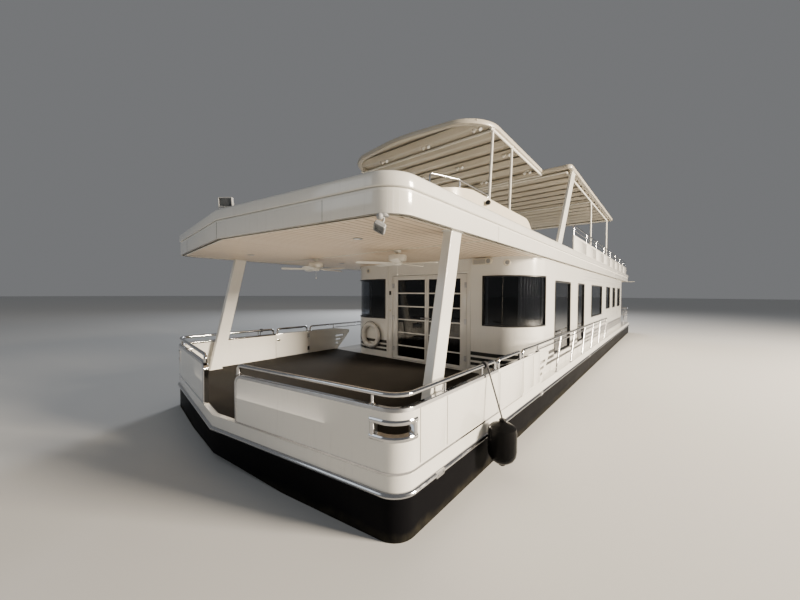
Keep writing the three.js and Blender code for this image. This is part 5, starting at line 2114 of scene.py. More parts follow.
@dataclass
class Doors:
    """The glazed front doors, the after door and the engine hatch, each on its own body."""

    front: float = CABIN_FRONT + 0.006
    thick: float = 0.045
    z: Pair = (0.028, 1.932)
    middle: float = 0.385
    jamb: Pair = (-0.580, 1.350)
    stile: float = 0.140
    meeting: float = 0.045
    bar: float = 0.014
    foot: float = 0.060
    head: float = 0.090
    bars: tuple[float, ...] = (0.34, 0.64, 0.94, 1.24, 1.54)

    def build(self) -> None:
        """Makes the leaves and the hatch."""
        for side in Side:
            self._leaf(side)
        Bench.fitted("aft_door", "aft_leaf_panel", "gelcoat", "aft_leaf", bevel=0.003)
        pane = Bench().plate(rectangle(0.219, 0.929, 0.831, 1.841, 0.01),
                             17.752, 17.760, Facing.FRONT)
        pane.finish("aft_leaf_pane", "smoked", "aft_leaf")
        self._lever(0.89, 17.781, 1.0, -1, Vector((0, 1, 0))).finish("aft_leaf_handle", "brushed", "aft_leaf")
        Bench.fitted("engine_hatch", "hatch_lid_panel", "tread", "hatch_lid", bevel=0.008, segments=3)
        ring = Bench().moulding(rectangle(0.30, 19.66, 0.50, 19.76, 0.02),
                                -0.002, [(0.003, 0.004), (0.016, 0.0), (0.004, -0.004)], 6)
        ring.tube([(0.33, 19.71, 0.0), (0.47, 19.71, 0.0)], 0.004, sides=10)
        ring.finish("hatch_pull", "mirror", "hatch_lid")

    def _leaf(self, side: Side) -> None:
        """One front leaf: stiles, rails and glazing bars, its pane, hinges and handle.

        Args:
            side: The leaf's side.
        """
        body = side.named("front_leaf")
        inner = self.middle + side.value * 0.004
        outer = self.jamb[1] - 0.008 if side is Side.PORT else self.jamb[0] + 0.008
        x0, x1 = min(inner, outer), max(inner, outer)
        z0, z1 = self.z
        y0, y1 = self.front, self.front + self.thick
        left, right = (self.meeting, self.stile) if side is Side.PORT else (self.stile, self.meeting)
        glass = (x0 + left, z0 + self.foot, x1 - right, z1 - self.head)
        frame = Bench().block((x0, y0, z0), (glass[0], y1, z1), 0.003)
        frame.block((glass[2], y0, z0), (x1, y1, z1), 0.003)
        for low, high in ((z0, glass[1]), (glass[3], z1)):
            frame.block((glass[0] - 0.004, y0 + 0.0012, low), (glass[2] + 0.004, y1 - 0.0012, high), 0.003)
        for z in self.bars:
            low = (glass[0] - 0.004, y0 + 0.005, z - self.bar)
            frame.block(low, (glass[2] + 0.004, y0 + 0.0158, z + self.bar), 0.004)
        frame.finish(side.named("leaf_frame"), "gelcoat", body, replaces=[side.named("front_door")])
        outline = rectangle(glass[0] - 0.002, glass[1] - 0.002, glass[2] + 0.002, glass[3] + 0.002, 0.0)
        Bench().plate(outline, y0 + 0.017, y0 + 0.024, Facing.FRONT).finish(
            side.named("leaf_pane"), "glass", body, replaces=[side.named("front_door_glass")]
        )
        metal = Bench()
        hx = self.jamb[1] - 0.004 if side is Side.PORT else self.jamb[0] + 0.004
        hy = CABIN_FRONT - 0.00695
        for z in (0.250, 0.980, 1.710):
            metal.lathe(HINGE_PIN,
                        Matrix.Translation((hx, hy, z)), 16)
            tab = outer - side.value * 0.044
            metal.block((min(hx, tab), hy, z - 0.053), (max(hx, tab), y0 + 0.001, z + 0.053), 0.002, 1)
        knob = self._lever(inner + side.value * 0.024, y0, 1.0, side.value, Vector((0, -1, 0)))
        metal.set_in(knob)
        metal.finish(side.named("leaf_metal"), "brushed", body)

    @staticmethod
    def _lever(x: float, y: float, z: float, way: int, out: Vector) -> Bench:
        """A lever handle on a backplate that sticks out along `out` and points sideways by `way`.

        Args:
            x: The backplate's place across the boat.
            y: Its place along the boat.
            z: Its level.
            way: Which way the lever points along X, 1 or -1.
            out: The way that the handle sticks out.

        Returns:
            The handle's bench.
        """
        bench = Bench()
        face = Vector((x, y, z))
        bench.lathe(foot_ring(0.020, 0.006, 0.014, 0.010), aim(face, out), 24)
        knee = face + out * 0.042
        bench.tube([tuple(face + out * 0.006), tuple(knee), tuple(knee + Vector((way * 0.105, 0, 0)))], 0.008,
                   0.016, 12)
        return bench


@dataclass
class Fan:
    """A ceiling fan under the roof: its canopy, rod and housing, and the five blades that turn."""

    side: Side
    x: float = 1.070
    y: float = 2.360
    blades: int = 5
    reach: float = 0.660
    pitch: float = 11.0

    def build(self) -> None:
        """Makes the fan's pieces."""
        named = self.side.named
        x = self.side.value * self.x
        place = Matrix.Translation((x, self.y, CEILING))
        motor = Bench().lathe(
            [(0.0, -0.002), (0.060, -0.002), (0.062, -0.012), (0.052, -0.040), (0.030, -0.050), (0.013, -0.052),
             (0.013, -0.072), (0.030, -0.076), (0.120, -0.080), (0.140, -0.086), (0.146, -0.098), (0.146, -0.112),
             (0.142, -0.115), (0.146, -0.118), (0.146, -0.164), (0.138, -0.178), (0.110, -0.1848), (0.0, -0.1848)],
            place, 40,
        )
        motor.finish(named("fan_housing"), "plastic", replaces=[named("fan_motor")])
        low = CEILING - 0.1853
        hub = Bench().lathe(
            [(0.0, 0.0), (0.080, -0.001), (0.084, -0.008), (0.084, -0.018), (0.066, -0.026), (0.070, -0.044),
             (0.056, -0.058), (0.030, -0.0618), (0.0, -0.062)], Matrix.Translation((x, self.y, low)), 36,
        )
        end = low - 0.215
        beads = [(0.0022 if i % 2 else 0.0012, end + 0.160 - 0.008 * i) for i in range(18)]
        chain = [(0.0, end + 0.165), *beads, (0.006, end + 0.018), (0.009, end), (0.0, end - 0.006)]
        hub.lathe(chain, Matrix.Translation((x, self.y, 0.0)), 10)
        hub.finish(named("fan_hub"), "plastic", named("fan"))
        irons, blades = Bench(), Bench()
        for i in range(self.blades):
            turn = Matrix.Rotation((i + 0.25) * 2 * math.pi / self.blades, 4, "Z")
            tilt = Matrix.Rotation(math.radians(self.pitch), 4, "X")
            spot = Matrix.Translation((x, self.y, low - 0.030)) @ turn @ tilt
            one = Bench().plate([(0.135, -0.052, 0.02), (self.reach, -0.062, 0.045), (self.reach, 0.062, 0.045),
                                 (0.135, 0.052, 0.02)], -0.0035, 0.0035, edge=0.002)
            blades.set_in(one, spot)
            iron = Bench().plate([(0.060, -0.018, 0.004), (0.205, -0.030, 0.02), (0.205, 0.030, 0.02),
                                  (0.060, 0.018, 0.004)], 0.003, 0.008, edge=0.001)
            for bx, by in ((0.165, -0.016), (0.165, 0.016), (0.19, 0.0)):
                iron.lathe([(0.0, 0.0), (0.005, 0.0), (0.004, 0.003), (0.0, 0.0035)],
                           Matrix.Translation((bx, by, 0.008)), 10)
            irons.set_in(iron, spot)
        blades.finish(named("fan_blade_set"), "plastic", named("fan"), replaces=[named("fan_blades")])
        irons.finish(named("fan_irons"), "plastic", named("fan"))


@dataclass
class Bridge:
    """The upper deck's coaming, helm and seat."""

    wall: float = 0.090
    aft: float = 5.900
    rim: float = 3.140
    low_rim: float = 2.960
    rise: Pair = (1.800, 3.000)

    def build(self) -> None:
        """Makes the bridge's pieces."""
        self._coaming().finish("coaming_shell", "cream", bevel=0.020, segments=4, sharp=50.0,
                               replaces=["bridge_coaming"])
        self._grab_rail()
        Bench.fitted("helm_console", "console_shell", "gelcoat", bevel=0.020, segments=4)
        Bench.fitted("steering_wheel", "wheel_rim", "grip", "helm_wheel", bevel=0.002)
        Bench.fitted("helm_seat", "seat_shell", "gelcoat", bevel=0.018, segments=4)
        self._cushion()
        self._dash()

    def _dash(self) -> None:
        """The dark dash on the console's sloping face, its plain dials, the levers and the compass."""
        top, low = Vector((0.0, 3.752, ROOF + 0.860)), Vector((0.0, 4.038, ROOF + 0.758))
        along = (low - top).normalized()
        out = Vector((1, 0, 0)).cross(along).normalized() * -1
        if out.z < 0:
            out = -out
        place = Matrix((Vector((1, 0, 0)), along, out)).transposed().to_4x4()
        place.translation = Vector((0.800, (top.y + low.y) / 2, (top.z + low.z) / 2))
        dark, bright, glass = Bench(), Bench(), Bench()
        dark.set_in(Bench().plate(rectangle(-0.420, -0.120, 0.420, 0.120, 0.03), -0.002, 0.005, edge=0.002), place)
        for x, r in ((-0.330, 0.036), (-0.240, 0.036), (-0.120, 0.048), (0.010, 0.048), (0.140, 0.048),
                     (0.250, 0.036)):
            spot = place @ Matrix.Translation((x, 0.0, 0.005))
            bright.lathe([(r - 0.003, 0.0), (r + 0.004, 0.0), (r + 0.004, 0.006), (r, 0.009), (r - 0.004, 0.006),
                          (r - 0.003, 0.0)], spot, 28)
            glass.lathe(rectangle(0.0, 0.003, r - 0.002, 0.001), spot, 24)
            for i in range(9):
                turn = Matrix.Rotation(math.radians(-120 + 30 * i), 4, "Z")
                bright.set_in(Bench().block((-0.0008, r * 0.70, 0.003), (0.0008, r * 0.86, 0.0036)), spot @ turn)
        for i in range(6):
            bright.set_in(Bench().block((0.310 + 0.014 * i, 0.045, 0.004), (0.317 + 0.014 * i, 0.070, 0.012), 0.001,
                                        1), place)
        for x in (0.320, 0.375):
            root = place @ Vector((x, -0.030, 0.005))
            knee = root + Vector((0.0, 0.030, 0.120))
            bright.tube([tuple(root), tuple(knee)], 0.006, sides=10)
            dark.lathe([(0.0, -0.014), (0.013, -0.010), (0.015, 0.0), (0.013, 0.010), (0.0, 0.014)],
                       Matrix.Translation(knee), 16)
        spot = Matrix.Translation((0.850, 3.665, ROOF + 0.859))
        dark.lathe([(0.0, 0.0), (0.056, 0.0), (0.058, 0.010), (0.050, 0.018), (0.0, 0.020)], spot, 28)
        turns = [math.pi * i / 20 for i in range(10)]
        dome = [(0.044 * math.cos(t), 0.018 + 0.036 * math.sin(t)) for t in turns]
        glass.lathe([(0.0, 0.018), *dome, (0.0, 0.054)], spot, 28)
        dark.finish("dash_panel", "black", slot="wheel_rim")
        bright.finish("dash_bezels", "brushed")
        glass.finish("dash_glass", "smoked")

    def _coaming(self) -> Bench:
        """The curved wall: its rim falls towards the front, and its after ends are rounded down.

        Returns:
            Its bench.
        """
        tip, port, _, _, starboard = COAMING_LINE.corners(-self.wall / 2)
        half = self.wall / 2
        z = ROOF - 0.001
        route = [
            (starboard[0], self.aft, z, 0.0), (starboard[0], starboard[1], z, starboard[2]), (*tip[:2], z, tip[2]),
            (port[0], port[1], z, port[2]), (port[0], self.aft, z, 0.0),
        ]
        tall = self.rim - z
        bench = Bench().sweep(rectangle(-half, 0.0, half, tall), route, (0, 0, 1), 20)
        ends = [
            e for e in bench.bm.edges
            if all(v.co.z > self.rim - 0.001 and v.co.y > self.aft - 0.001 for v in e.verts)
        ]
        bench.round_edges(ends, self.rim - ROOF, 20)
        slope = math.atan2(self.rim - self.low_rim, self.rise[1] - self.rise[0])
        bench.cut((0.0, self.rise[1], self.rim), (0.0, -math.sin(slope), math.cos(slope)))
        return bench.moved((BRIDGE_X, 0, 0))

    def _grab_rail(self) -> None:
        """The thin rail that runs along the coaming's falling rim, on short posts."""
        rail = Bench()
        high = self.rim + 0.075
        for side in Side:
            x = BRIDGE_X + side.value * (COAMING_LINE.half - self.wall / 2)
            fore = BRIDGE_X + side.value * (COAMING_LINE.half - 0.200)
            rail.tube([(fore, 2.12, 2.990), (fore, 2.12, high - 0.020), (x, 2.66, high), (x, 3.62, high),
                       (x, 3.62, self.rim - 0.005)], 0.0125, 0.04, 12)
            rail.tube([(x, 2.68, 3.060), (x, 2.68, high)], 0.010, sides=10)
        rail.finish("coaming_grab_rails", "mirror")

    def _cushion(self) -> None:
        """The helm seat's cushion: crowned, with sides that pull in between its corners."""
        low = ROOF + 0.4703
        bench = Bench().block((0.478, 4.738, low), (1.222, 5.232, low + 0.082))
        bmesh.ops.subdivide_edges(bench.bm, edges=bench.bm.edges, cuts=15, use_grid_fill=True)
        middle = Vector((0.850, 4.985))
        for vert in bench.bm.verts:
            u = (vert.co.x - middle.x) / 0.372
            v = (vert.co.y - middle.y) / 0.247
            up = (vert.co.z - low) / 0.082
            crown = max(1 - u**2, 0.0) * max(1 - v**2, 0.0)
            vert.co.x -= math.copysign(0.010, u) * (1 - v**2) * (abs(u) > 0.98)
            vert.co.y -= math.copysign(0.008, v) * (1 - u**2) * (abs(v) > 0.98)
            vert.co.z += up * (0.016 * crown**0.5 - 0.018 * (1 - crown) ** 4)
        piece = bench.finish("seat_cushion", "vinyl", sharp=80.0, replaces=["helm_cushion"])
        smooth = piece.modifiers.new("rounding", "SUBSURF")
        smooth.levels = smooth.render_levels = 1


@dataclass
class Hardtop:
    """The ribbed top over the bridge, the wider one aft of it, and what carries them."""

    edge: float = 0.095
    skin: float = 0.035
    border: float = 0.090
    rib: float = 0.045
    bay: float = 0.515
    join: float = 6.900
    half: float = 2.600
    aft: float = 14.200
    tube: float = 0.0235
    legs: tuple[float, ...] = (3.670, 4.590)
    rake: float = 0.370
    rim: float = 3.140
    post: float = 2.440
    bars: tuple[float, ...] = (7.100, 10.400, 13.800)
    plate_x: Pair = (2.488, 2.572)
    plate_low: Pair = (5.915, 6.250)
    plate_high: Pair = (7.180, 7.515)
    lamps: tuple[Pair, ...] = tuple((x, y) for x in (-0.62, 0.52, 1.66) for y in (3.90, 5.30, 6.62))

    def build(self) -> None:
        """Makes the tops' pieces."""
        self._top()
        self._bridge_frame()
        self._after_frame()
        self._lamps()

    def _shell(self, outline: Sequence[Corner]) -> Bench:
        """A thin skin with a deep round edge, from the outline of its hollow underside.

        Args:
            outline: The hollow underside's corners, as (x, y, radius).

        Returns:
            The skin's bench.
        """
        rim = [
            (0.0, self.skin - self.edge + 0.006), (-0.003, -0.004), (-0.006, -0.002), (0.018 - self.border, 0.0),
            (-0.006, 0.002), (-0.003, 0.006), (0.0, 0.060), (0.003, 0.010), (0.007, 0.009), (0.011, 0.006),
            (0.016, 0.002),
        ]
        return Bench().moulding(outline, HARDTOP + self.edge - self.skin, rim, 20, solid=True)

    def _ribs(self, y0: float, y1: float, half_at: Callable[[float], float]) -> Bench:
        """The ribs across a top between y0 and y1, each as long as the hollow is wide there.

        Args:
            y0: Where the top starts.
            y1: Where it ends.
            half_at: Gives half the hollow's width at a distance aft.

        Returns:
            The ribs' bench.
        """
        count = round((y1 - y0) / self.bay)
        bench = Bench()
        for i in range(1, count):
            y = y0 + i * (y1 - y0) / count
            x = half_at(y) + 0.020
            wide = self.rib / 2
            section = [(y - wide - 0.125, 0.064, 0.0), (y - wide - 0.115, 0.054, 0.06), (y - wide, 0.003, 0.05),
                       (y + wide, 0.003, 0.05), (y + wide + 0.115, 0.054, 0.06), (y + wide + 0.125, 0.064, 0.0)]
            bench.plate(section, -x, x, Facing.SIDE, arc=4)
        return bench.moved((0, 0, HARDTOP))

    def _top(self) -> None:
        """Both tops as one piece."""
        inner = self.half - self.border
        after = [(inner, self.join + self.border, 0.04), (inner, self.aft - self.border, 0.04),
                 (-inner, self.aft - self.border, 0.04), (-inner, self.join + self.border, 0.04)]
        top = self._shell(HARDTOP_LINE.corners(-self.border))
        top.set_in(self._ribs(HARDTOP_LINE.front, self.join, lambda y: HARDTOP_LINE.half_at(y, -self.border)))
        top.moved((BRIDGE_X, 0, 0))
        top.set_in(self._shell(after))
        top.set_in(self._ribs(self.join + 0.030, self.aft - self.border + 0.020, lambda y: inner))
        # The tops' finish is a cream darkened as painted shade.
        top.finish("top_shell", "top", sharp=50.0, replaces=["hardtop"])

    def _tubes(self, x0: float, x1: float, fore: float, bars: Sequence[float]) -> Bench:
        """Tubes fore and aft under a top at x0 and x1, joined by cross tubes.

        Args:
            x0: The first tube's place.
            x1: The second one's.
            fore: Where both start.
            bars: Where the cross tubes lie; both end at the last.

        Returns:
            The tubes' bench.
        """
        z = HARDTOP - self.tube
        bench = Bench()
        for x in (x0, x1):
            bench.tube([(x, fore, z), (x, bars[-1], z)], self.tube, sides=16)
        for y in bars:
            bench.tube([(x0, y, z), (x1, y, z)], self.tube, sides=16)
        return bench

    def _bridge_frame(self) -> None:
        """The tubes under the bridge's top and the raking legs on the coaming."""
        half = HARDTOP_LINE.half - 0.055
        frame = self._tubes(BRIDGE_X - half, BRIDGE_X + half, 3.950, (4.040, 6.930))
        flange = foot_ring(0.042, 0.005, 0.031, 0.014)
        for side in Side:
            for y in self.legs:
                foot = Vector((BRIDGE_X + side.value * (COAMING_LINE.half - 0.045), y, self.rim - 0.070))
                head = Vector((BRIDGE_X + side.value * half, y + self.rake, HARDTOP - 0.020))
                base = foot.lerp(head, (self.rim - 0.006 - foot.z) / (head.z - foot.z))
                frame.tube([tuple(base), tuple(head)], self.tube, sides=16)
                frame.lathe(flange, Matrix.Translation((base.x, base.y, self.rim - 0.001)), 20)
                frame.lathe([(0.0, -0.03), (0.030, -0.03), (0.032, 0.0), (0.030, 0.03), (0.0, 0.03)],
                            aim(head - Vector((0, 0, 0.012)), head - foot), 18)
        frame.finish("top_tubes_bridge", "plastic", replaces=["hardtop_frame"])

    def _after_frame(self) -> None:
        """The tubes, posts and raking box legs under the after top."""
        frame = self._tubes(-self.post, self.post, self.bars[0], self.bars)
        flange = foot_ring(0.050, 0.005, 0.034, 0.014)
        for side in Side:
            x = side.value * self.post
            for y in self.bars[1:]:
                frame.tube([(x, y, ROOF), (x, y, HARDTOP - self.tube)], self.tube, sides=16)
                frame.lathe(flange, Matrix.Translation((x, y, ROOF - 0.001)), 20)
            leg = side.named("raked_leg")
            Bench.fitted(leg, side.named("box_leg"), "gelcoat", bevel=0.012, segments=4)
            plates = Bench()
            x0, x1 = self.plate_x
            for (y0, y1), low, high in (
                (self.plate_low, ROOF - 0.001, ROOF + 0.012), (self.plate_high, HARDTOP - 0.014, HARDTOP - 0.001),
            ):
                plates.block((x0, y0, low), (x1, y1, high), 0.005, 3)
            plates.mirrored(side).finish(side.named("box_leg_plates"), "gelcoat")
        frame.finish("top_tubes_after", "plastic", replaces=["after_top_frame"])

    def _lamps(self) -> None:
        """The twin spot lamps under the bridge's top, each on a small base."""
        bodies, lenses = Bench(), Bench()
        for x, y in self.lamps:
            base = HARDTOP + self.edge - self.skin
            bodies.block((x - 0.045, y - 0.030, base - 0.016), (x + 0.045, y + 0.030, base + 0.002), 0.005)
            for way in (-1, 1):
                neck = Vector((x + way * 0.030, y, base - 0.014))
                aimed = Vector((way * 0.55, -0.15, -0.55)).normalized()
                bodies.tube([tuple(neck), tuple(neck + Vector((way * 0.015, 0, -0.030)))], 0.009, sides=10)
                spot = aim(neck + Vector((way * 0.016, 0, -0.032)), aimed)
                bodies.lathe([(0.0, -0.030), (0.018, -0.028), (0.024, -0.015), (0.036, 0.040), (0.038, 0.048),
                              (0.035, 0.050), (0.032, 0.044), (0.0, 0.044)], spot, 20)
                lenses.lathe([(0.0, 0.0445), (0.031, 0.0445), (0.026, 0.0475), (0.0, 0.049)], spot, 18)
        bodies.finish("top_lamps", "plastic")
        lenses.finish("top_lamp_lenses", "lens")


@dataclass
class UpperRail:
    """The rail round the after part of the upper deck: a low panel with two bars above it."""

    start: float = 7.330
    half: float = 2.575
    aft: float = 20.105
    high: float = ROOF + 0.650
    panel: float = ROOF + 0.410
    pitch: float = 1.600
    end_posts: tuple[float, ...] = (-1.3, 0.0, 1.3)

    def build(self) -> None:
        """Makes the panel and the bars."""
        foot = self.panel - 0.010
        panels = Bench()
        for side in Side:
            x = side.value * self.half
            panels.block((x - 0.014, self.start - 0.03, ROOF - 0.001), (x + 0.014, self.aft, self.panel), 0.005)
            for i in range(8):
                y = self.start + 0.04 + i * self.pitch
                end = min(y + 1.52, self.aft - 0.04)
                panels.block((x - 0.017, y, ROOF + 0.05), (x + 0.017, end, ROOF + 0.36), 0.004)
        low = (-self.half - 0.014, self.aft - 0.014, ROOF - 0.001)
        panels.block(low, (self.half + 0.014, self.aft + 0.014, self.panel), 0.005)
        panels.finish("upper_rail_panels", "gelcoat", replaces=["upper_rail"], slot="rail_panel")
        bars = Bench()
        x, y0, y1 = self.half, self.start, self.aft
        bars.tube([(x, y0, foot), (x, y0, self.high), (x, y1, self.high), (-x, y1, self.high),
                   (-x, y0, self.high), (-x, y0, foot)], DECK_RAIL_TUBE, 0.09, 16, 8)
        low = self.high - 0.120
        bars.tube([(x, y0, low), (x, y1, low), (-x, y1, low), (-x, y0, low)], BAR_TUBE, 0.09, 12, 8)
        y = y0 + self.pitch
        while y < y1 - 0.3:
            for side in Side:
                bars.tube([(side.value * x, y, foot), (side.value * x, y, self.high)], POST_TUBE, sides=12)
            y += self.pitch
        for px in self.end_posts:
            bars.tube([(px, y1, foot), (px, y1, self.high)], POST_TUBE, sides=12)
        bars.finish("upper_rail_bars", "mirror")


@dataclass
class Stern:
    """The after deck's stair and rails, the swim platform, the engines and the drives."""

    fore: float = 17.900
    corner: Corner = (2.695, 20.255, 0.760)
    gap: float = 0.620
    low_bar: float = 0.400
    side_posts: Pair = (18.7, 19.5)
    end_posts: Pair = (1.35, 2.05)

    def build(self) -> None:
        """Makes the stern's pieces."""
        Bench.fitted("stern_stair", "stair_flight", "tread", bevel=0.005)
        Bench.fitted("swim_platform", "platform_deck", "tread", bevel=0.010, segments=3)
        for side in Side:
            self._rail(side)
            named = side.named
            Bench.fitted(named("engine"), named("engine_block"), "engine", bevel=0.02, segments=3)
            Bench.fitted(named("sterndrive"), named("drive_leg"), "drive", named("drive"), bevel=0.008, segments=3)
            Bench.fitted(named("propeller"), named("prop_wheel"), "bronze", named("prop"), bevel=0.002)

    def _rail(self, side: Side) -> None:
        """One side's after rail, with its lower bar, posts and feet.

        Args:
            side: The side that the piece is for.
        """
        x, y, z = self.corner
        fore, gap, low = self.fore, self.gap, self.low_bar
        route = [(x, fore, 0.0), (x, fore, z), (x, y, z), (gap, y, z), (gap, y, 0.0)]
        rail = Bench().tube(route, DECK_RAIL_TUBE, 0.08, 16, 8)
        rail.tube([(x, fore, low), (x, y, low), (gap, y, low)], BAR_TUBE, 0.08, 12, 8)
        places = [*((x, p) for p in self.side_posts), *((p, y) for p in self.end_posts)]
        for px, py in places:
            rail.tube([(px, py, 0.0), (px, py, z)], POST_TUBE, sides=12)
        for px, py in [*places, (x, fore), (gap, y)]:
            rail.lathe(foot_ring(0.038, 0.004, 0.028, 0.010),
                       Matrix.Translation((px, py, -0.001)), 18)
        rail.mirrored(side).finish(side.named("after_rail"), "mirror", replaces=[side.named("aft_rail")])


@dataclass
class Fittings:
    """The life ring, the fenders, and the lamps and small fittings on the roof and the cabin's front."""

    ring: Corner = (-1.240, 4.0937, 0.510)
    middle: float = 0.258
    lashing: Pair = (0.0095, 2.060)
    fender_x: float = 2.9355
    downlights: tuple[Pair, ...] = ((1.4, 1.2), (-1.4, 1.2), (1.4, 3.3), (-1.4, 3.3))

    def build(self) -> None:
        """Makes the fittings."""
        self._ring()
        self._floodlights()
        self._downlights()
        self._front_fittings()
        for side in Side:
            self._fender(side)

    @staticmethod
    def _square_lamp(bodies: Bench, lenses: Bench, place: Matrix, wide: float, tall: float) -> None:
        """A flat floodlight that faces along its placing's Z: a finned back, a bezel and a lens.

        Args:
            bodies: The bench for its body.
            lenses: The bench for its lens.
            place: Its placing.
            wide: Its width.
            tall: Its height.
        """
        w, h = wide / 2, tall / 2
        outline = rectangle(-w, -h, w, h, 0.012)
        body = Bench().plate(outline, -0.030, -0.004, edge=0.006)
        body.moulding(outline, -0.006, [(0.0, 0.010), (0.003, 0.003), (0.007, 0.0), (0.002, -0.006), (0.0, -0.005)],
                      6)
        count = 6
        for i in range(count):
            u = -w + wide * (i + 1) / (count + 1)
            body.block((u - 0.003, -h + 0.012, -0.046), (u + 0.003, h - 0.012, -0.028), 0.002, 1)
        bodies.set_in(body, place)
        inner = rectangle(0.008 - w, 0.008 - h, w - 0.008, h - 0.008, 0.006)
        lenses.set_in(Bench().plate(inner, -0.004, 0.001), place)

    def _floodlights(self) -> None:
        """The floodlight with its sensor under the bow's port corner, and the one on the roof's front."""
        bodies, lenses = Bench(), Bench()
        bodies.lathe([(0.0, 0.0), (0.048, 0.0), (0.048, -0.014), (0.040, -0.024), (0.0, -0.026)],
                     Matrix.Translation((2.500, 0.480, CEILING - 0.008)), 28)
        bodies.tube([(2.500, 0.480, 2.200), (2.500, 0.480, 2.165), (2.490, 0.462, 2.140)], 0.010, 0.02, 12)
        tilted = aim((2.490, 0.430, 2.090), (-0.10, -0.62, -0.85))
        turn = Matrix.Rotation(math.radians(38.0), 4, "Z")
        self._square_lamp(bodies, lenses, tilted @ turn, 0.120, 0.105)
        ball = [(0.030 * math.sin(math.pi * i / 12), -0.030 * math.cos(math.pi * i / 12)) for i in range(13)]
        bodies.tube([(2.500, 0.470, 2.190), (2.545, 0.390, 2.180)], 0.008, sides=10)
        bodies.lathe(ball, aim((2.552, 0.372, 2.176), (0, -1, -0.4)), 20)
        turn = Matrix.Translation((0.060, 0.180, 0.0)) @ Matrix.Rotation(math.radians(36.0), 4, "Z")
        stand = Bench().block((-0.060, -0.030, ROOF - 0.001), (0.060, 0.030, ROOF + 0.010), 0.003)
        for x in (-0.098, 0.098):
            stand.tube([(0.0, 0.0, ROOF + 0.012), (x, 0.0, ROOF + 0.012), (x, 0.0, ROOF + 0.090)], 0.005, 0.015, 10)
        bodies.set_in(stand, turn)
        self._square_lamp(bodies, lenses, turn @ aim((0.0, -0.015, ROOF + 0.090), (0.0, -1.0, -0.12)), 0.185, 0.125)
        bodies.finish("floodlights", "grey")
        lenses.finish("floodlight_lenses", "clear")

    def _downlights(self) -> None:
        """The round lamps let into the ceiling."""
        rings, lenses = Bench(), Bench()
        for x, y in self.downlights:
            place = Matrix.Translation((x, y, CEILING - 0.009))
            rings.lathe([(0.044, 0.0), (0.062, 0.0), (0.064, -0.003), (0.058, -0.008), (0.046, -0.008),
                         (0.042, 0.004),
                         (0.044, 0.0)], place, 32)
            lenses.lathe([(0.0, 0.003), (0.044, 0.003), (0.044, -0.001), (0.0, -0.003)], place, 28)
        rings.finish("downlight_rings", "brushed")
        lenses.finish("downlight_lenses", "lens")

    def _front_fittings(self) -> None:
        """The lamp box, round speakers and small fittings on the cabin's front, and the coaming's lamp."""
        pale, grey, dark = Bench(), Bench(), Bench()
        y = CABIN_FRONT
        pale.plate([(1.500, 2.085, 0.010), (1.880, 2.085, 0.050), (1.880, 2.205, 0.050), (1.500, 2.205, 0.010)],
                   y - 0.070, y + 0.004, Facing.FRONT, edge=0.006)
        grey.lathe([(0.0, 0.0), (0.040, 0.0), (0.043, 0.004), (0.040, 0.008), (0.0, 0.006)],
                   aim((1.822, y - 0.070, 2.145), (0, -1, 0)), 28)
        for z in (2.100, 2.118, 2.136, 2.154, 2.172):
            grey.block((1.522, y - 0.0735, z), (1.762, y - 0.069, z + 0.010), 0.001, 1)
        turn = math.radians(21.9)
        out = Vector((math.sin(turn), -math.cos(turn), 0.0))
        centre = Vector((CABIN_PORT - CABIN_CORNER, CABIN_FRONT + CABIN_CORNER, 2.110))
        spot = aim(centre + out * (CABIN_CORNER - 0.004), out)
        for at in (spot, aim((-1.385, y - 0.001, 2.090), (0, -1, 0))):
            pale.lathe([(0.038, 0.0), (0.060, 0.0), (0.062, 0.006), (0.056, 0.012), (0.044, 0.012), (0.040, 0.006),
                        (0.038, 0.0)], at, 36)
            grey.lathe([(0.0, 0.012), (0.022, 0.011), (0.041, 0.006), (0.041, 0.001), (0.0, 0.001)], at, 30)
        dark.block((-0.670, y - 0.028, 1.500), (-0.618, y + 0.002, 1.590), 0.010, 3)
        pale.block((-0.672, y - 0.008, 1.105), (-0.620, y + 0.002, 1.165), 0.004)
        dark.block((-0.650, y - 0.012, 1.120), (-0.642, y - 0.006, 1.150), 0.002, 1)
        x = BRIDGE_X + COAMING_LINE.half
        pale.block((x - 0.004, 3.410, 2.985), (x + 0.028, 3.490, 3.055), 0.006)
        dark.lathe([(0.0, -0.030), (0.022, -0.028), (0.034, -0.012), (0.040, 0.030), (0.042, 0.036), (0.038, 0.038),
                    (0.033, 0.030), (0.0, 0.028)], aim((x + 0.058, 3.440, 3.025), (0.25, -1, 0)), 24)
        pale.finish("front_fittings", "cream")
        grey.finish("front_fittings_grey", "grey")
        dark.finish("front_fittings_dark", "black")

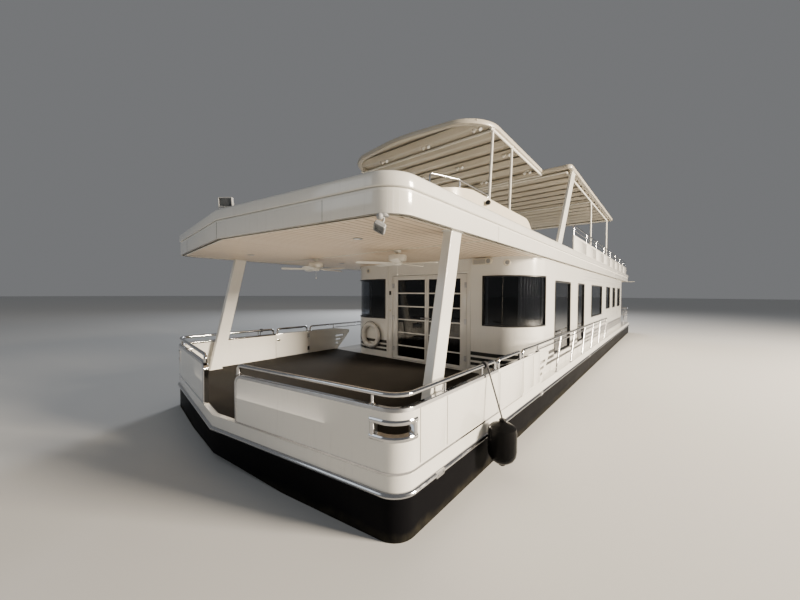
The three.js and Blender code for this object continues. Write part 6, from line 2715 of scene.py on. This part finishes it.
    def _ring(self) -> None:
        """The life ring with its straps."""
        place = aim(self.ring, (0, -1, 0))
        section = circle(0.056, 28, self.middle, closed=True)
        Bench().lathe(section, place, 72).finish("ring_body", "foam", replaces=["life_ring"])
        straps, line = Bench(), Bench()
        band = circle(0.0585, 28, self.middle)
        for quarter in range(4):
            at = math.pi / 4 + quarter * math.pi / 2
            route = [place @ Vector((math.cos(at + d), math.sin(at + d), 0.0)) for d in (-0.10, 0.10)]
            heading = (route[1] - route[0]).normalized()
            outward = (place.to_3x3() @ Vector((math.cos(at), math.sin(at), 0.0))).normalized()
            forward = place.to_3x3() @ Vector((0, 0, 1))
            middle = place @ Vector((0.0, 0.0, 0.0))
            loop = [middle + outward * u + forward * v for u, v in band]
            ring = [straps.bm.verts.new(p - heading * 0.026) for p in loop]
            face = straps.bm.faces.new(ring)
            drawn = bmesh.ops.extrude_face_region(straps.bm, geom=[face])["geom"]
            fresh = [g for g in drawn if isinstance(g, bmesh.types.BMVert)]
            bmesh.ops.translate(straps.bm, vec=heading * 0.052, verts=fresh)
            start = at + 0.06
            end = at + math.pi / 2 - 0.06
            arc = [start + (end - start) * i / 14 for i in range(15)]
            sag = [0.316 + 0.022 * math.sin(math.pi * i / 14) for i in range(15)]
            line.tube([tuple(place @ Vector((r * math.cos(a), r * math.sin(a), 0.012))) for r, a in zip(sag, arc)],
                      0.0045, 0.04, 8, 2)
        straps.finish("ring_straps", "vinyl", bevel=0.001)
        line.finish("ring_line", "rope")
        hooks = Bench()
        for x in (self.ring[0] - 0.11, self.ring[0] + 0.11):
            z = self.ring[2] - 0.315
            hooks.tube([(x, CABIN_FRONT + 0.002, z), (x, CABIN_FRONT - 0.115, z),
                        (x, CABIN_FRONT - 0.120, z + 0.040)],
                       0.006, 0.018, 10)
        hooks.finish("ring_hooks", "steel")

    def _fender(self, side: Side) -> None:
        """One hanging fender and its lanyard.

        Args:
            side: The side that the piece is for.
        """
        x = side.value * self.fender_x
        body = Bench().lathe(
            [(0.0, -0.460), (0.034, -0.460), (0.042, -0.452), (0.040, -0.438), (0.085, -0.420), (0.130, -0.385),
             (0.156, -0.340), (0.165, -0.285), (0.165, -0.070), (0.156, -0.020), (0.125, 0.010), (0.080, 0.030),
             (0.046, 0.042), (0.038, 0.050), (0.040, 0.070), (0.034, 0.080), (0.0, 0.080)],
            Matrix.Translation((x, self.lashing[1], 0.0)), 40,
        )
        body.finish(side.named("fender_body"), "rubber", replaces=[side.named("fender")])
        thick, y = self.lashing
        rail = side.value * (DECK_LINE.half - BULWARK / 2)
        knot = Bench()
        turn = circle(thick, 12, RAIL_TUBE + thick, closed=True)
        for shift in (-0.020, -0.004, 0.012):
            knot.lathe(turn, aim((rail, y + shift, RAIL), (0.05, 1, 0)), 32)
        knot.lathe([(0.0, -0.020), (0.012, -0.016), (0.017, 0.0), (0.012, 0.016), (0.0, 0.020)],
                   Matrix.Translation((rail + side.value * (RAIL_TUBE + 0.008), y, RAIL - 0.010)), 16)
        knot = knot.finish(side.named("lanyard_knot"), "rope")
        head = Vector((rail + side.value * (RAIL_TUBE + 0.009), y, RAIL - 0.010))
        eye = Vector((x, y, 0.074))
        path = [head.lerp(eye, i / 15) for i in range(16)]
        rope = Bench().tube([tuple(p) for p in path], thick, sides=12)
        piece = rope.finish(side.named("fender_lanyard"), "rope")


def main() -> None:
    """Builds the boat's pieces in order."""
    logging.basicConfig(level=logging.INFO, format="%(message)s")
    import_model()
    low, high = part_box("main_deck")
    Bench.datum = Vector((0.0, low[1] - DECK_LINE.front, high[2]))
    Studio().build()
    Bench.locker = Locker()
    parts = [
        Hull(), Roof(), Columns(), Cabin(), Doors(), Bridge(), Hardtop(), UpperRail(), Stern(), Fittings(),
    ]
    for side in Side:
        parts += [Bulwark(side), Gate(side), SidePanel(side, 12.1 if side is Side.PORT else 17.75), Fan(side)]
    for part in parts:
        part.build()


if __name__ == "__main__":
    main()
